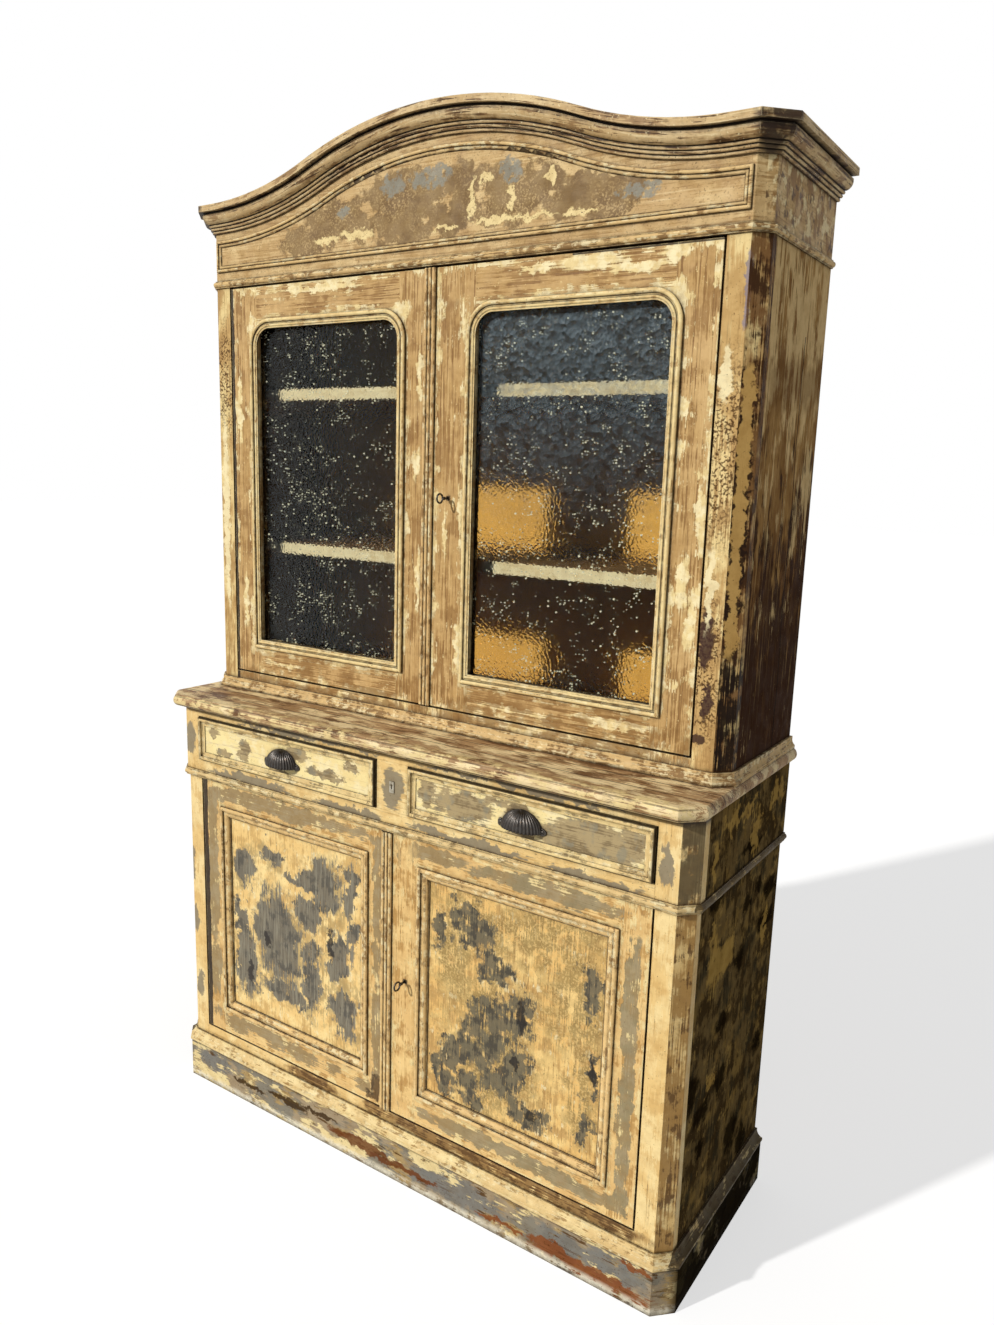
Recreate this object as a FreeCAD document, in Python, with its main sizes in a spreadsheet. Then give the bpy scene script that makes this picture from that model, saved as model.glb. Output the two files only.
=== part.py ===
import FreeCAD, Part
import math
import operator
import os
import types

import Sketcher

# A hutch in two parts: a base with two drawers over two panelled doors, and a glazed cupboard with an
# arched cornice on top. Millimetres, +Z up, front towards -Y, origin on the floor at the middle of the box.

SIZES = {
    # Case and levels, from the floor up
    "case_width": 1306,
    "lower_depth": 462,
    "upper_depth": 346,
    "corner_chamfer": 26,
    "drawer_step": 5,
    "board": 20,
    "post_width": 67,
    "post_depth": 45,
    "back_board": 10,
    "bottom_rail_top": 145,
    "lower_door_height": 635,
    "drawer_rail_height": 44,
    "drawer_opening": 104,
    "counter_rail_height": 24,
    "counter_thickness": 26,
    "upper_rail_height": 42,
    "upper_door_height": 868,
    "top_rail_height": 16,
    "frieze_height": 100,
    "frieze_board": 14,
    "arch_rise": 113,
    "arch_shoulder": 53,
    "top_board": 14,
    "top_board_drop": 34,
    # Plinth and its cap
    "plinth_height": 96,
    "plinth_board": 15,
    "cap_height": 24,
    "cap_projection": 18,
    "cap_fillet": 5,
    "cap_hollow": 17,
    # Waist and frieze astragals
    "waist_height": 17,
    "waist_flat": 3,
    "waist_bulge": 4,
    "waist_fillet": 2.5,
    "astragal_height": 15,
    "astragal_flat": 3.5,
    "astragal_bulge": 4.5,
    "astragal_fillet": 2,
    # Counter
    "counter_nose": 38,
    "counter_overhang": 18,
    "counter_chamfer": 38,
    "edge_width": 32,
    "edge_nose": 8,
    # Moulding at the foot of the upper case
    "base_height": 24,
    "base_projection": 12,
    "base_fillet": 6,
    "base_hollow": 14,
    # Cornice
    "cornice_height": 54,
    "cornice_projection": 36,
    "cornice_bead": 6,
    "cornice_step": 4,
    "cornice_bulge": 2,
    "ovolo_height": 16,
    "ovolo_projection": 27,
    "ovolo_radius": 15,
    "ovolo_edge": 3,
    "quirk_height": 4,
    "quirk_depth": 6,
    # Frieze frame
    "frieze_frame_width": 14,
    "frieze_frame_proud": 3.5,
    "frieze_frame_bead": 6,
    "frieze_frame_bulge": 2,
    "frieze_frame_lip": 0.5,
    "frieze_frame_end": 30,
    "frieze_frame_top": 16,
    "frieze_frame_bottom": 18,
    # Door and drawer clearances
    "door_gap": 4,
    "meeting_gap": 2,
    "stop_gap": 4,
    "drawer_gap": 4,
    "drawer_rise": 2,
    "runner_gap": 0.3,
    # Lower doors
    "lower_door_thickness": 24,
    "lower_outer_stile": 60,
    "lower_meeting_stile": 65,
    "lower_top_rail": 56,
    "lower_foot_rail": 60,
    "panel_thickness": 10,
    "panel_groove": 10,
    "panel_recess": 8,
    "panel_frame_width": 26,
    "panel_frame_proud": 4,
    "panel_frame_bead": 9,
    "panel_frame_bulge": 2.5,
    "panel_frame_step": 3,
    "panel_frame_foot": 2,
    # Upper doors
    "upper_door_thickness": 26,
    "upper_outer_stile": 80,
    "upper_meeting_stile": 93,
    "upper_top_rail": 87,
    "upper_foot_rail": 78,
    "glass_thickness": 4,
    "rebate_width": 10,
    "rebate_depth": 14,
    "glazing_width": 20,
    "glazing_lap": 2,
    "glazing_proud": 5,
    "glazing_bead": 8,
    "glazing_bulge": 2.5,
    "glazing_step": 2,
    "glazing_groove": 3,
    "glazing_lip": 3,
    "glazing_corner": 38,
    # Joinery of the doors
    "tenon_length": 40,
    "tenon_thickness": 8,
    "tenon_shoulder": 14,
    # Meeting astragals
    "reed_width": 9,
    "reed_base": 3,
    "reed_bulge": 3,
    # Pivots
    "pivot_inset": 8,
    "pivot_radius": 3,
    "pivot_depth": 12,
    "pivot_fit": 0.05,
    "pivot_end_gap": 0.5,
    "collar_radius": 6,
    "collar_gap": 0.3,
    "pivot_plate": 1.5,
    # Locks and keys
    "lower_key_level": 466,
    "upper_key_level": 1462,
    "key_inset": 35,
    "lock_depth": 55,
    "lock_below": 30,
    "lock_above": 40,
    "lock_thickness": 12,
    "lock_front": 7,
    "lock_wall": 2,
    "bolt_length": 34,
    "bolt_height": 14,
    "bolt_rise": 14,
    "bolt_side": 1,
    "bolt_fit": 0.3,
    "bolt_throw": 12,
    "shank_radius": 3,
    "shank_fit": 0.06,
    "shank_reach": 17,
    "bow_radius": 9,
    "bow_wire": 2,
    "bit_reach": 10,
    "bit_thickness": 2.5,
    "bit_width": 5,
    # Drawers
    "divider_width": 80,
    "drawer_front": 22,
    "drawer_side": 12,
    "drawer_back_room": 35,
    "drawer_box_height": 84,
    "drawer_side_inset": 6,
    "drawer_bottom": 8,
    "drawer_bottom_rise": 8,
    "drawer_frame_width": 18,
    "drawer_frame_proud": 6,
    "drawer_frame_bead": 8,
    "drawer_frame_bulge": 2,
    "drawer_frame_quirk": 2,
    "drawer_frame_lip": 1.5,
    "drawer_frame_hollow": 14,
    "runner_height": 30,
    "runner_lap": 30,
    "centre_runner": 150,
    # Cup pulls
    "pull_level": 40,
    "pull_half_width": 45,
    "pull_height": 38,
    "pull_projection": 27,
    "pull_wall": 2.5,
    "ear_radius": 8,
    "ear_thickness": 3,
    "ear_reach": 46,
    "screw_head": 4,
    "screw_head_height": 2,
    "screw_radius": 2,
    "screw_length": 14,
    "screw_fit": 0.05,
    # Keyhole plate on the divider
    "plate_width": 12,
    "plate_height": 24,
    "plate_thickness": 1.5,
    "keyhole_radius": 2.5,
    "keyhole_drop": 8,
    "keyhole_slot": 2.4,
    # Shelves
    "shelf_thickness": 24,
    "first_shelf_level": 1340,
    "second_shelf_level": 1684,
    "lower_shelf_level": 460,
    "lower_shelf_setback": 60,
    "cleat": 20,
}
BACK_PLANKS = 6
COUNTER_PLANKS = 3
REEDS = 3
MITRE = math.tan(math.radians(22.5))
ROOT_TWO = math.sqrt(2)
CHAMFER_GROWTH = 2 - ROOT_TWO
CUT_MARGIN = 5
OPERATORS = {"+": operator.add, "-": operator.sub, "*": operator.mul, "/": operator.truediv}
X_AXIS = FreeCAD.Vector(1, 0, 0)
Y_AXIS = FreeCAD.Vector(0, 1, 0)
Z_AXIS = FreeCAD.Vector(0, 0, 1)


class Measure:
    """A length in millimetres with the sheet formula that it comes from."""

    def __init__(self, value, formula):
        self.value = value
        self.formula = formula

    def __add__(self, other):
        return combine(self, "+", other)

    def __radd__(self, other):
        return combine(other, "+", self)

    def __sub__(self, other):
        return combine(self, "-", other)

    def __rsub__(self, other):
        return combine(other, "-", self)

    def __mul__(self, other):
        return combine(self, "*", other)

    def __truediv__(self, other):
        return combine(self, "/", other)

    def __neg__(self):
        return combine(0, "-", self)


def measure(item):
    """A bare number becomes a Measure with itself as its formula."""
    if isinstance(item, Measure):
        return item
    return Measure(float(item), "(" + repr(float(item)) + ")")


def combine(left, sign, right):
    left = measure(left)
    right = measure(right)
    value = OPERATORS[sign](left.value, right.value)
    return Measure(value, "(" + left.formula + " " + sign + " " + right.formula + ")")


doc = FreeCAD.newDocument("hutch")
sheet = doc.addObject("Spreadsheet::Sheet", "sizes")
for row, (name, number) in enumerate(SIZES.items(), 1):
    sheet.set("A" + str(row), name)
    sheet.set("B" + str(row), str(number))
    sheet.setAlias("B" + str(row), name)
doc.recompute()
cells = {name: Measure(float(number), "sizes." + name) for name, number in SIZES.items()}
size = types.SimpleNamespace(**cells)
nodes = []


# General tools: bound sizes, boards, rods, cuts and groups

def bind(thing, setting, amount):
    """Ties one setting of an object to its sheet formula."""
    thing.setExpression(setting, measure(amount).formula)


def place(thing, x, y, z, axis=Z_AXIS, angle=0):
    """Turns an object about an axis and binds its position."""
    thing.Placement = FreeCAD.Placement(FreeCAD.Vector(), FreeCAD.Rotation(axis, angle))
    for letter, amount in zip("xyz", (x, y, z)):
        bind(thing, "Placement.Base." + letter, amount)
    return thing


def board(label, x, y, z):
    """A square-edged board between three pairs of limits."""
    box = doc.addObject("Part::Box", "board")
    box.Label = label
    for setting, (low, high) in zip(("Length", "Width", "Height"), (x, y, z)):
        bind(box, setting, measure(high) - low)
    return place(box, x[0], y[0], z[0])


def rod(label, radius, x, y, z, length, along="z"):
    """A round bar from a point, along +Z or +Y."""
    bar = doc.addObject("Part::Cylinder", "rod")
    bar.Label = label
    bind(bar, "Radius", radius)
    bind(bar, "Height", length)
    return place(bar, x, y, z, X_AXIS, -90 if along == "y" else 0)


def cut(label, base, *tools):
    """Takes each tool away from the base, one after another."""
    for tool in tools:
        piece = doc.addObject("Part::Cut", "cut")
        piece.Base = base
        piece.Tool = tool
        base = piece
    base.Label = label
    return base


def fuse(label, *pieces):
    whole = doc.addObject("Part::MultiFuse", "fuse")
    whole.Label = label
    whole.Shapes = list(pieces)
    return whole


def common(label, base, tool):
    shared = doc.addObject("Part::Common", "common")
    shared.Label = label
    shared.Base = base
    shared.Tool = tool
    return shared


def mirrored(label, source):
    """The same piece on the other side of the middle plane."""
    twin = doc.addObject("Part::Mirroring", "mirrored")
    twin.Label = label
    twin.Source = source
    twin.Normal = X_AXIS
    return twin


def pair(label, piece):
    return [piece, mirrored(label, piece)]


def group(label, pieces):
    """Several loose solids that are kept as one sub-part."""
    bundle = doc.addObject("Part::Compound", "group")
    bundle.Label = label
    bundle.Links = pieces
    return node(bundle)


def node(piece):
    """Puts a finished sub-part on the list of what is written out."""
    nodes.append(piece)
    return piece


def sided(side, low, high):
    """The pair of x limits on the right side, or the same pair mirrored to the left."""
    if side > 0:
        return (measure(low), measure(high))
    return (-measure(high), -measure(low))


# Sketches and solids made from outlines

def new_body(label):
    body = doc.addObject("PartDesign::Body", "body")
    body.Label = label
    return body


def origin_part(body, role):
    return next(part for part in body.Origin.OriginFeatures if part.Role == role)


def arc_between(start, end, radius, side):
    """The arc under half a turn from start to end that bulges left (1) or right (-1) of the way."""
    chord = end - start
    left = FreeCAD.Vector(-chord.y, chord.x, 0).normalize()
    half = chord.Length / 2
    centre = (start + end) / 2 - left * side * math.sqrt(max(radius * radius - half * half, 0))
    first, last = (end, start) if side > 0 else (start, end)
    from_angle = math.atan2(first.y - centre.y, first.x - centre.x)
    to_angle = math.atan2(last.y - centre.y, last.x - centre.x)
    if to_angle < from_angle:
        to_angle += 2 * math.pi
    return Part.ArcOfCircle(Part.Circle(centre, Z_AXIS, radius), from_angle, to_angle)


def bound_constraint(sketch, label, kind, amount, *points):
    index = sketch.addConstraint(Sketcher.Constraint(kind, *points, measure(amount).value))
    sketch.renameConstraint(index, label)
    bind(sketch, "Constraints." + label, amount)


def draw(body, plane, corners, closed=True):
    """A sketch through corners (a, b), or (a, b, radius, side) where an arc arrives at the corner."""
    sketch = body.newObject("Sketcher::SketchObject", "sketch")
    sketch.AttachmentSupport = [(origin_part(body, plane + "_Plane"), "")]
    sketch.MapMode = "FlatFace"
    spots = [FreeCAD.Vector(measure(corner[0]).value, measure(corner[1]).value, 0) for corner in corners]
    steps = list(range(len(corners))) if closed else list(range(1, len(corners)))
    ends = []
    for geometry, index in enumerate(steps):
        corner = corners[index]
        start = spots[index - 1]
        if len(corner) == 2:
            sketch.addGeometry(Part.LineSegment(start, spots[index]))
            ends.append((1, 2))
        else:
            sketch.addGeometry(arc_between(start, spots[index], corner[2].value, corner[3]))
            ends.append((2, 1) if corner[3] > 0 else (1, 2))
    for geometry in range(len(steps) if closed else len(steps) - 1):
        follower = (geometry + 1) % len(steps)
        sketch.addConstraint(Sketcher.Constraint("Coincident", geometry, ends[geometry][1], follower,
                                                 ends[follower][0]))
    if not closed:
        bound_constraint(sketch, "across_start", "DistanceX", corners[0][0], -1, 1, 0, ends[0][0])
        bound_constraint(sketch, "up_start", "DistanceY", corners[0][1], -1, 1, 0, ends[0][0])
    for geometry, index in enumerate(steps):
        corner = corners[index]
        tail = ends[geometry][1]
        bound_constraint(sketch, "across_" + str(index), "DistanceX", corner[0], -1, 1, geometry, tail)
        bound_constraint(sketch, "up_" + str(index), "DistanceY", corner[1], -1, 1, geometry, tail)
        if len(corner) > 2:
            bound_constraint(sketch, "radius_" + str(index), "Radius", corner[2], geometry)
    return sketch


def pad(body, sketch, length, sides="One side", turned=False):
    feature = body.newObject("PartDesign::Pad", "pad")
    feature.Profile = sketch
    feature.SideType = sides
    feature.Reversed = turned
    bind(feature, "Length", length)
    return feature


def pocket(body, plane, corners):
    """Cuts an outline right through, both ways from its plane."""
    feature = body.newObject("PartDesign::Pocket", "pocket")
    feature.Profile = draw(body, plane, corners)
    feature.Type = "ThroughAll"
    feature.SideType = "Symmetric"
    return feature


def prism(label, corners, low, high):
    """An upright solid from a plan outline."""
    body = new_body(label)
    pad(body, draw(body, "XY", corners), measure(high) - low)
    return place(body, 0, 0, low)


def bow(rise, run, bulge):
    """The radius of an arc over a chord with the given rise and run, with a given bulge."""
    rise = measure(rise)
    run = measure(run)
    return (rise * rise + run * run) / (bulge * 8) + bulge / 2


# The arch of frieze and cornice: two hollow arcs that run into one round arc

arch_reach = size.case_width / 2 - size.arch_shoulder
arch_radius = (arch_reach * arch_reach / size.arch_rise + size.arch_rise) / 4


def arch(drop, base=0):
    """Corners of the arch line from left to right, set down square to itself by drop."""
    drop = measure(drop)
    turn_x = arch_reach / 2 * (1 - drop / arch_radius)
    turn_z = size.arch_rise / 2 * (1 + drop / arch_radius) - drop + base
    hollow = arch_radius + drop
    return [
        (-arch_reach, base - drop),
        (-turn_x, turn_z, hollow, -1),
        (turn_x, turn_z, arch_radius - drop, 1),
        (arch_reach, base - drop, hollow, -1),
    ]


# Mouldings: a profile run along X, with its ends cut on the mitre

def end_cut(end, far, slope, low, high, way):
    """The plan of what a mitre takes off one end; slope is how fast the end draws in with depth."""
    near = low - CUT_MARGIN
    deep = high + CUT_MARGIN
    return [((end - near * slope) * way, near), ((end - deep * slope) * way, deep), (far * way, deep),
            (far * way, near)]


def strip(label, profile, depth, length, plane, slopes, arched=False):
    """A length of moulding; depth is the profile's pair of limits in the mitre's plane."""
    body = new_body(label)
    low, high = (measure(limit) for limit in depth)
    end = length / 2
    longest = end - low * max(slopes)
    section = draw(body, "YZ", profile)
    if arched:
        bind(section, "AttachmentOffset.Base.z", -longest)
        path = draw(body, "XZ", [(-longest, 0)] + arch(0) + [(longest, 0)], closed=False)
        pipe = body.newObject("PartDesign::AdditivePipe", "pipe")
        pipe.Profile = section
        pipe.Spine = path
    else:
        pad(body, section, longest * 2, "Symmetric")
    far = longest + CUT_MARGIN * 3
    for way, slope in zip((-1, 1), slopes):
        if slope or longest.value > end.value:
            pocket(body, plane, end_cut(end, far, slope, low, high, way))
    return body


def round_case(label, profile, depth, half, face, chamfer, level, arched=False):
    """A moulding mitred round the front, both chamfered corners and both sides of a case."""
    front = strip(label + " front", profile, depth, (half - chamfer) * 2, "XY", (MITRE, MITRE), arched)
    place(front, 0, face, level)
    corner = strip(label + " corner", profile, depth, chamfer * ROOT_TWO, "XY", (MITRE, MITRE))
    place(corner, half - chamfer / 2, face + chamfer / 2, level, Z_AXIS, 45)
    run = back - face - chamfer
    side = strip(label + " side", profile, depth, run, "XY", (MITRE, 0))
    place(side, half, face + chamfer + run / 2, level, Z_AXIS, 90)
    pieces = [front] + pair(label + " left corner", corner) + pair(label + " left side", side)
    return group(label, pieces)


def frame_strip(label, profile, width, length, slopes, spot, angle):
    """One side of a picture-frame moulding, its outer edge on the spot and turned about Y."""
    piece = strip(label, profile, (0, width), length, "XZ", slopes)
    return place(piece, *spot, Y_AXIS, angle)


def frame_ring(label, profile, width, x, z, face):
    """Four mitred strips that frame the rectangle x by z on a face."""
    across = measure(x[1]) - x[0]
    tall = measure(z[1]) - z[0]
    middle_x = x[0] + across / 2
    middle_z = z[0] + tall / 2
    sides = [("foot", across, (middle_x, face, z[0]), 0), ("head", across, (middle_x, face, z[1]), 180),
             ("near", tall, (x[0], face, middle_z), 90), ("far", tall, (x[1], face, middle_z), -90)]
    return [frame_strip(label + " " + name, profile, width, length, (1, 1), spot, angle)
            for name, length, spot, angle in sides]


def flipped(corner, level):
    """A profile corner turned upside down and hung from a level."""
    return (corner[0], level - measure(corner[1])) + ((corner[2], -corner[3]) if len(corner) > 2 else ())


def hollow_profile(height, projection, fillet, radius):
    """A fillet below, a hollow, and a narrow neck above."""
    return [(0, 0), (-projection, 0), (-projection, fillet), (-fillet, height - fillet, radius, -1),
            (-fillet, height), (0, height)]


def bead_profile(height, flat, fillet, bulge):
    """A round bead between two fillets."""
    return [(0, 0), (-flat, 0), (-flat, fillet),
            (-flat, height - fillet, bow(height - fillet * 2, 0, bulge), 1), (-flat, height), (0, height)]


# Planes and levels that the pieces share

half = size.case_width / 2
back = (size.lower_depth + size.counter_nose) / 2
inner_back = back - size.back_board
lower_face = back - size.lower_depth
drawer_face = lower_face - size.drawer_step
upper_face = back - size.upper_depth
drawer_half = half + size.drawer_step
inner_half = half - size.board
post_in = half - size.post_width
door_out = post_in - size.door_gap
meet = size.meeting_gap / 2
lower_post_back = lower_face + size.post_depth
upper_post_back = upper_face + size.post_depth
lower_door_low = size.bottom_rail_top + size.door_gap
lower_door_high = lower_door_low + size.lower_door_height
waist_level = lower_door_high + size.door_gap
drawer_low = waist_level + size.drawer_rail_height
drawer_high = drawer_low + size.drawer_opening
counter_low = drawer_high + size.counter_rail_height
counter_high = counter_low + size.counter_thickness
upper_rail_top = counter_high + size.upper_rail_height
upper_door_low = upper_rail_top + size.door_gap
upper_door_high = upper_door_low + size.upper_door_height
top_rail_low = upper_door_high + size.door_gap
frieze_low = top_rail_low + size.top_rail_height
cornice_low = frieze_low + size.frieze_height
cornice_high = cornice_low + size.cornice_height
top_board_low = cornice_high - size.top_board_drop


def planks(label, count, x, y, z):
    """A wall of equal upright planks, edge to edge."""
    width = (measure(x[1]) - x[0]) / count
    edges = [x[0] + width * index for index in range(count + 1)]
    return [board(label + " plank", limits, y, z) for limits in zip(edges, edges[1:])]


def side_planks(label, x, front, z):
    """A side wall of two planks between a corner post and the back."""
    middle = (front + back) / 2
    return [board(label + " front plank", x, (front, middle), z),
            board(label + " rear plank", x, (middle, back), z)]


def post_plan(inner, outer, face, rear, chamfer):
    return [(inner, face), (outer - chamfer, face), (outer, face + chamfer), (outer, rear), (inner, rear)]


# Lower case

def make_plinth():
    thick = size.plinth_board
    section = [(0, 0), (-thick, 0), (-thick, size.plinth_height), (0, size.plinth_height)]
    round_case("plinth_boards", section, (-thick, 0), half, lower_face, size.corner_chamfer, 0)
    cap = hollow_profile(size.cap_height, size.cap_projection, size.cap_fillet, size.cap_hollow)
    round_case("plinth_cap_moulding", cap, (-size.cap_projection, 0), half, lower_face, size.corner_chamfer,
               size.plinth_height)


def make_lower_case():
    chamfer = size.corner_chamfer
    step_chamfer = chamfer + size.drawer_step * CHAMFER_GROWTH
    low_plan = post_plan(post_in, half, lower_face, lower_post_back, chamfer)
    high_plan = post_plan(post_in, drawer_half, drawer_face, lower_post_back, step_chamfer)
    low_post = prism("lower post", low_plan, 0, waist_level)
    high_post = prism("drawer post", high_plan, waist_level, counter_low)
    group("lower_posts", pair("left lower post", low_post) + pair("left drawer post", high_post))
    low_side = side_planks("lower side", (inner_half, half), lower_post_back, (0, waist_level))
    high_side = board("drawer side wall", (inner_half, drawer_half), (lower_post_back, back),
                      (waist_level, counter_low))
    walls = low_side + [high_side]
    group("lower_sides", walls + [mirrored("left " + wall.Label, wall) for wall in walls])
    group("lower_back", planks("lower back", BACK_PLANKS, (-inner_half, inner_half), (inner_back, back),
                               (0, counter_low)))
    node(board("lower_bottom", (-inner_half, inner_half), (lower_post_back, inner_back),
               (size.bottom_rail_top - size.board, size.bottom_rail_top)))
    shelf_front = lower_post_back + size.lower_shelf_setback
    node(board("lower_shelf", (-inner_half, inner_half), (shelf_front, inner_back),
               (size.lower_shelf_level - size.shelf_thickness, size.lower_shelf_level)))
    rail_plan = ((-post_in, post_in), (lower_face, lower_post_back))
    drawer_plan = ((-post_in, post_in), (drawer_face, lower_post_back))
    foot_rail = board("foot rail", *rail_plan, (size.plinth_height, size.bottom_rail_top))
    drawer_rail = board("drawer rail", *drawer_plan, (waist_level, drawer_low))
    holes = pivot_holes(lower_face, lower_door_low, lower_door_high)
    stop = board("lower door stop", (-post_in, post_in),
                 (lower_face + size.lower_door_thickness + size.stop_gap, lower_post_back),
                 (size.bottom_rail_top, size.bottom_rail_top + size.door_gap * 2))
    group("lower_rails", [cut("drilled foot rail", foot_rail, *holes[:2]), stop,
                          cut("drilled drawer rail", drawer_rail, *holes[2:]),
                          board("counter rail", *drawer_plan, (drawer_high, counter_low))])
    divider = size.divider_width / 2
    node(board("drawer_divider", (-divider, divider), (drawer_face, lower_post_back),
               (drawer_low, drawer_high)))
    make_runners()
    waist = bead_profile(size.waist_height, size.waist_flat, size.waist_fillet, size.waist_bulge)
    reach = size.waist_flat + size.waist_bulge
    round_case("waist_moulding", waist, (-reach, 0), drawer_half, drawer_face, step_chamfer, waist_level)


def make_runners():
    low = drawer_low - size.runner_height
    deep = (lower_post_back, inner_back)
    lap = door_out - size.runner_lap
    outer = board("outer runner", (lap, inner_half), deep, (low, drawer_low))
    wide = size.centre_runner / 2
    centre = board("centre runner", (-wide, wide), deep, (low, drawer_low))
    group("drawer_runners", [centre] + pair("left outer runner", outer))


def make_counter():
    outer = half + size.counter_overhang
    face = lower_face - size.counter_nose
    width = size.edge_width
    nose = size.edge_nose
    thick = size.counter_thickness
    edge = [(width, 0), (nose, 0), (nose, thick, bow(thick, 0, nose), 1), (width, thick)]
    round_case("counter_edge", edge, (0, width), outer, face, size.counter_chamfer, counter_low)
    inner = outer - width
    front = face + width
    chamfer = size.counter_chamfer - width * CHAMFER_GROWTH
    plank = (back - front) / COUNTER_PLANKS
    first = [(-(inner - chamfer), front), (inner - chamfer, front), (inner, front + chamfer),
             (inner, front + plank), (-inner, front + plank), (-inner, front + chamfer)]
    boards = [prism("front counter board", first, counter_low, counter_high)]
    for index in range(1, COUNTER_PLANKS):
        limits = (front + plank * index, front + plank * (index + 1))
        boards.append(board("counter board", (-inner, inner), limits, (counter_low, counter_high)))
    group("counter_boards", boards)


def make_keyhole_plate():
    wide = size.plate_width / 2
    middle = (drawer_low + drawer_high) / 2
    front = drawer_face - size.plate_thickness
    plate = board("plate blank", (-wide, wide), (front, drawer_face),
                  (middle - size.plate_height / 2, middle + size.plate_height / 2))
    top = middle + size.keyhole_drop / 2
    eye = rod("keyhole eye", size.keyhole_radius, 0, front, top, size.plate_thickness, "y")
    slot = board("keyhole slot", (-size.keyhole_slot / 2, size.keyhole_slot / 2), (front, drawer_face),
                 (top - size.keyhole_drop, top))
    node(cut("drawer_keyhole_plate", plate, eye, slot))


# Drawers

def make_drawer(side, name):
    left = size.divider_width / 2 + size.drawer_gap
    right = post_in - size.drawer_gap
    low = drawer_low + size.drawer_rise
    high = drawer_high - size.drawer_rise
    middle = (left + right) / 2 * side
    rear = drawer_face + size.drawer_front
    blank = board(name + " front blank", sided(side, left, right), (drawer_face, rear), (low, high))
    level = drawer_low + size.pull_level
    holes = [rod(name + " screw hole", size.screw_radius + size.screw_fit, middle + size.ear_reach * way,
                 drawer_face, level, size.screw_length, "y") for way in (-1, 1)]
    node(cut(name + "_front", blank, *holes))
    box_low = drawer_low + size.runner_gap
    box_high = box_low + size.drawer_box_height
    tail = inner_back - size.drawer_back_room
    first = left + size.drawer_side_inset
    last = right - size.drawer_side_inset
    thick = size.drawer_side
    bottom_low = box_low + size.drawer_bottom_rise
    bottom_high = bottom_low + size.drawer_bottom
    between = sided(side, first + thick, last - thick)
    group(name + "_box", [
        board(name + " near side", sided(side, first, first + thick), (rear, tail), (box_low, box_high)),
        board(name + " far side", sided(side, last - thick, last), (rear, tail), (box_low, box_high)),
        board(name + " back", between, (tail - thick, tail), (bottom_high, box_high)),
        board(name + " bottom", between, (rear, tail), (bottom_low, bottom_high)),
    ])
    width = size.drawer_frame_width
    crest = -size.drawer_frame_proud
    shelf = crest + size.drawer_frame_quirk
    bead = size.drawer_frame_bead
    section = [(0, 0), (crest, 0), (crest, bead, bow(bead, 0, size.drawer_frame_bulge), 1), (shelf, bead),
               (-size.drawer_frame_lip, width, size.drawer_frame_hollow, -1), (0, width)]
    group(name + "_moulding", frame_ring(name + " moulding", section, width, sided(side, left, right),
                                         (low, high), drawer_face))
    make_pull(name, middle, level)


def ellipsoid(label, wide, deep, tall, x, y, z):
    shape = doc.addObject("Part::Ellipsoid", "ellipsoid")
    shape.Label = label
    bind(shape, "Radius2", wide)
    bind(shape, "Radius3", deep)
    bind(shape, "Radius1", tall)
    return place(shape, x, y, z)


def make_pull(name, middle, level):
    """A cup pull: a hollow quarter shell, open below, between two flat ears with screws."""
    wide = size.pull_half_width
    deep = size.pull_projection
    tall = size.pull_height
    wall = size.pull_wall
    low = level - size.ear_radius / 2
    keep = board(name + " shell limits", (middle - wide, middle + wide), (drawer_face - deep, drawer_face),
                 (low, low + tall))
    cup = common(name + " cup", ellipsoid(name + " shell", wide, deep, tall, middle, drawer_face, low), keep)
    hollow = ellipsoid(name + " hollow", wide - wall, deep - wall, tall - wall, middle, drawer_face, low)
    front = drawer_face - size.ear_thickness
    head_front = front - size.screw_head_height
    ears = []
    screws = []
    rooms = []
    for way in (-1, 1):
        spot = middle + size.ear_reach * way
        ears.append(rod(name + " ear", size.ear_radius, spot, front, level, size.ear_thickness, "y"))
        rooms.append(rod(name + " ear hole", size.screw_radius + size.screw_fit, spot, front, level,
                         size.ear_thickness, "y"))
        rooms.append(rod(name + " head room", size.screw_head + size.screw_fit, spot, front - deep, level,
                         deep, "y"))
        head = rod(name + " screw head", size.screw_head, spot, head_front, level,
                   size.screw_head_height, "y")
        stem = rod(name + " screw stem", size.screw_radius, spot, front, level, size.screw_length, "y")
        screws.append(fuse(name + " screw", head, stem))
    node(cut(name + "_pull", fuse(name + " pull blank", cup, *ears), hollow, *rooms))
    group(name + "_pull_screws", screws)


# Doors

def pivot_spots(face):
    """Where the pivots of a right and a left door stand."""
    return [((door_out - size.pivot_inset) * way, face + size.pivot_inset) for way in (1, -1)]


def pivot_holes(face, low, high):
    """Holes in the rails below and above a pair of doors: two below, then two above."""
    radius = size.pivot_radius + size.pivot_fit
    deep = size.pivot_depth + size.pivot_end_gap
    foot = low - size.door_gap - deep
    return [rod("rail pivot hole", radius, x, y, level, deep) for level in (foot, high + size.door_gap)
            for x, y in pivot_spots(face)]


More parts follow.
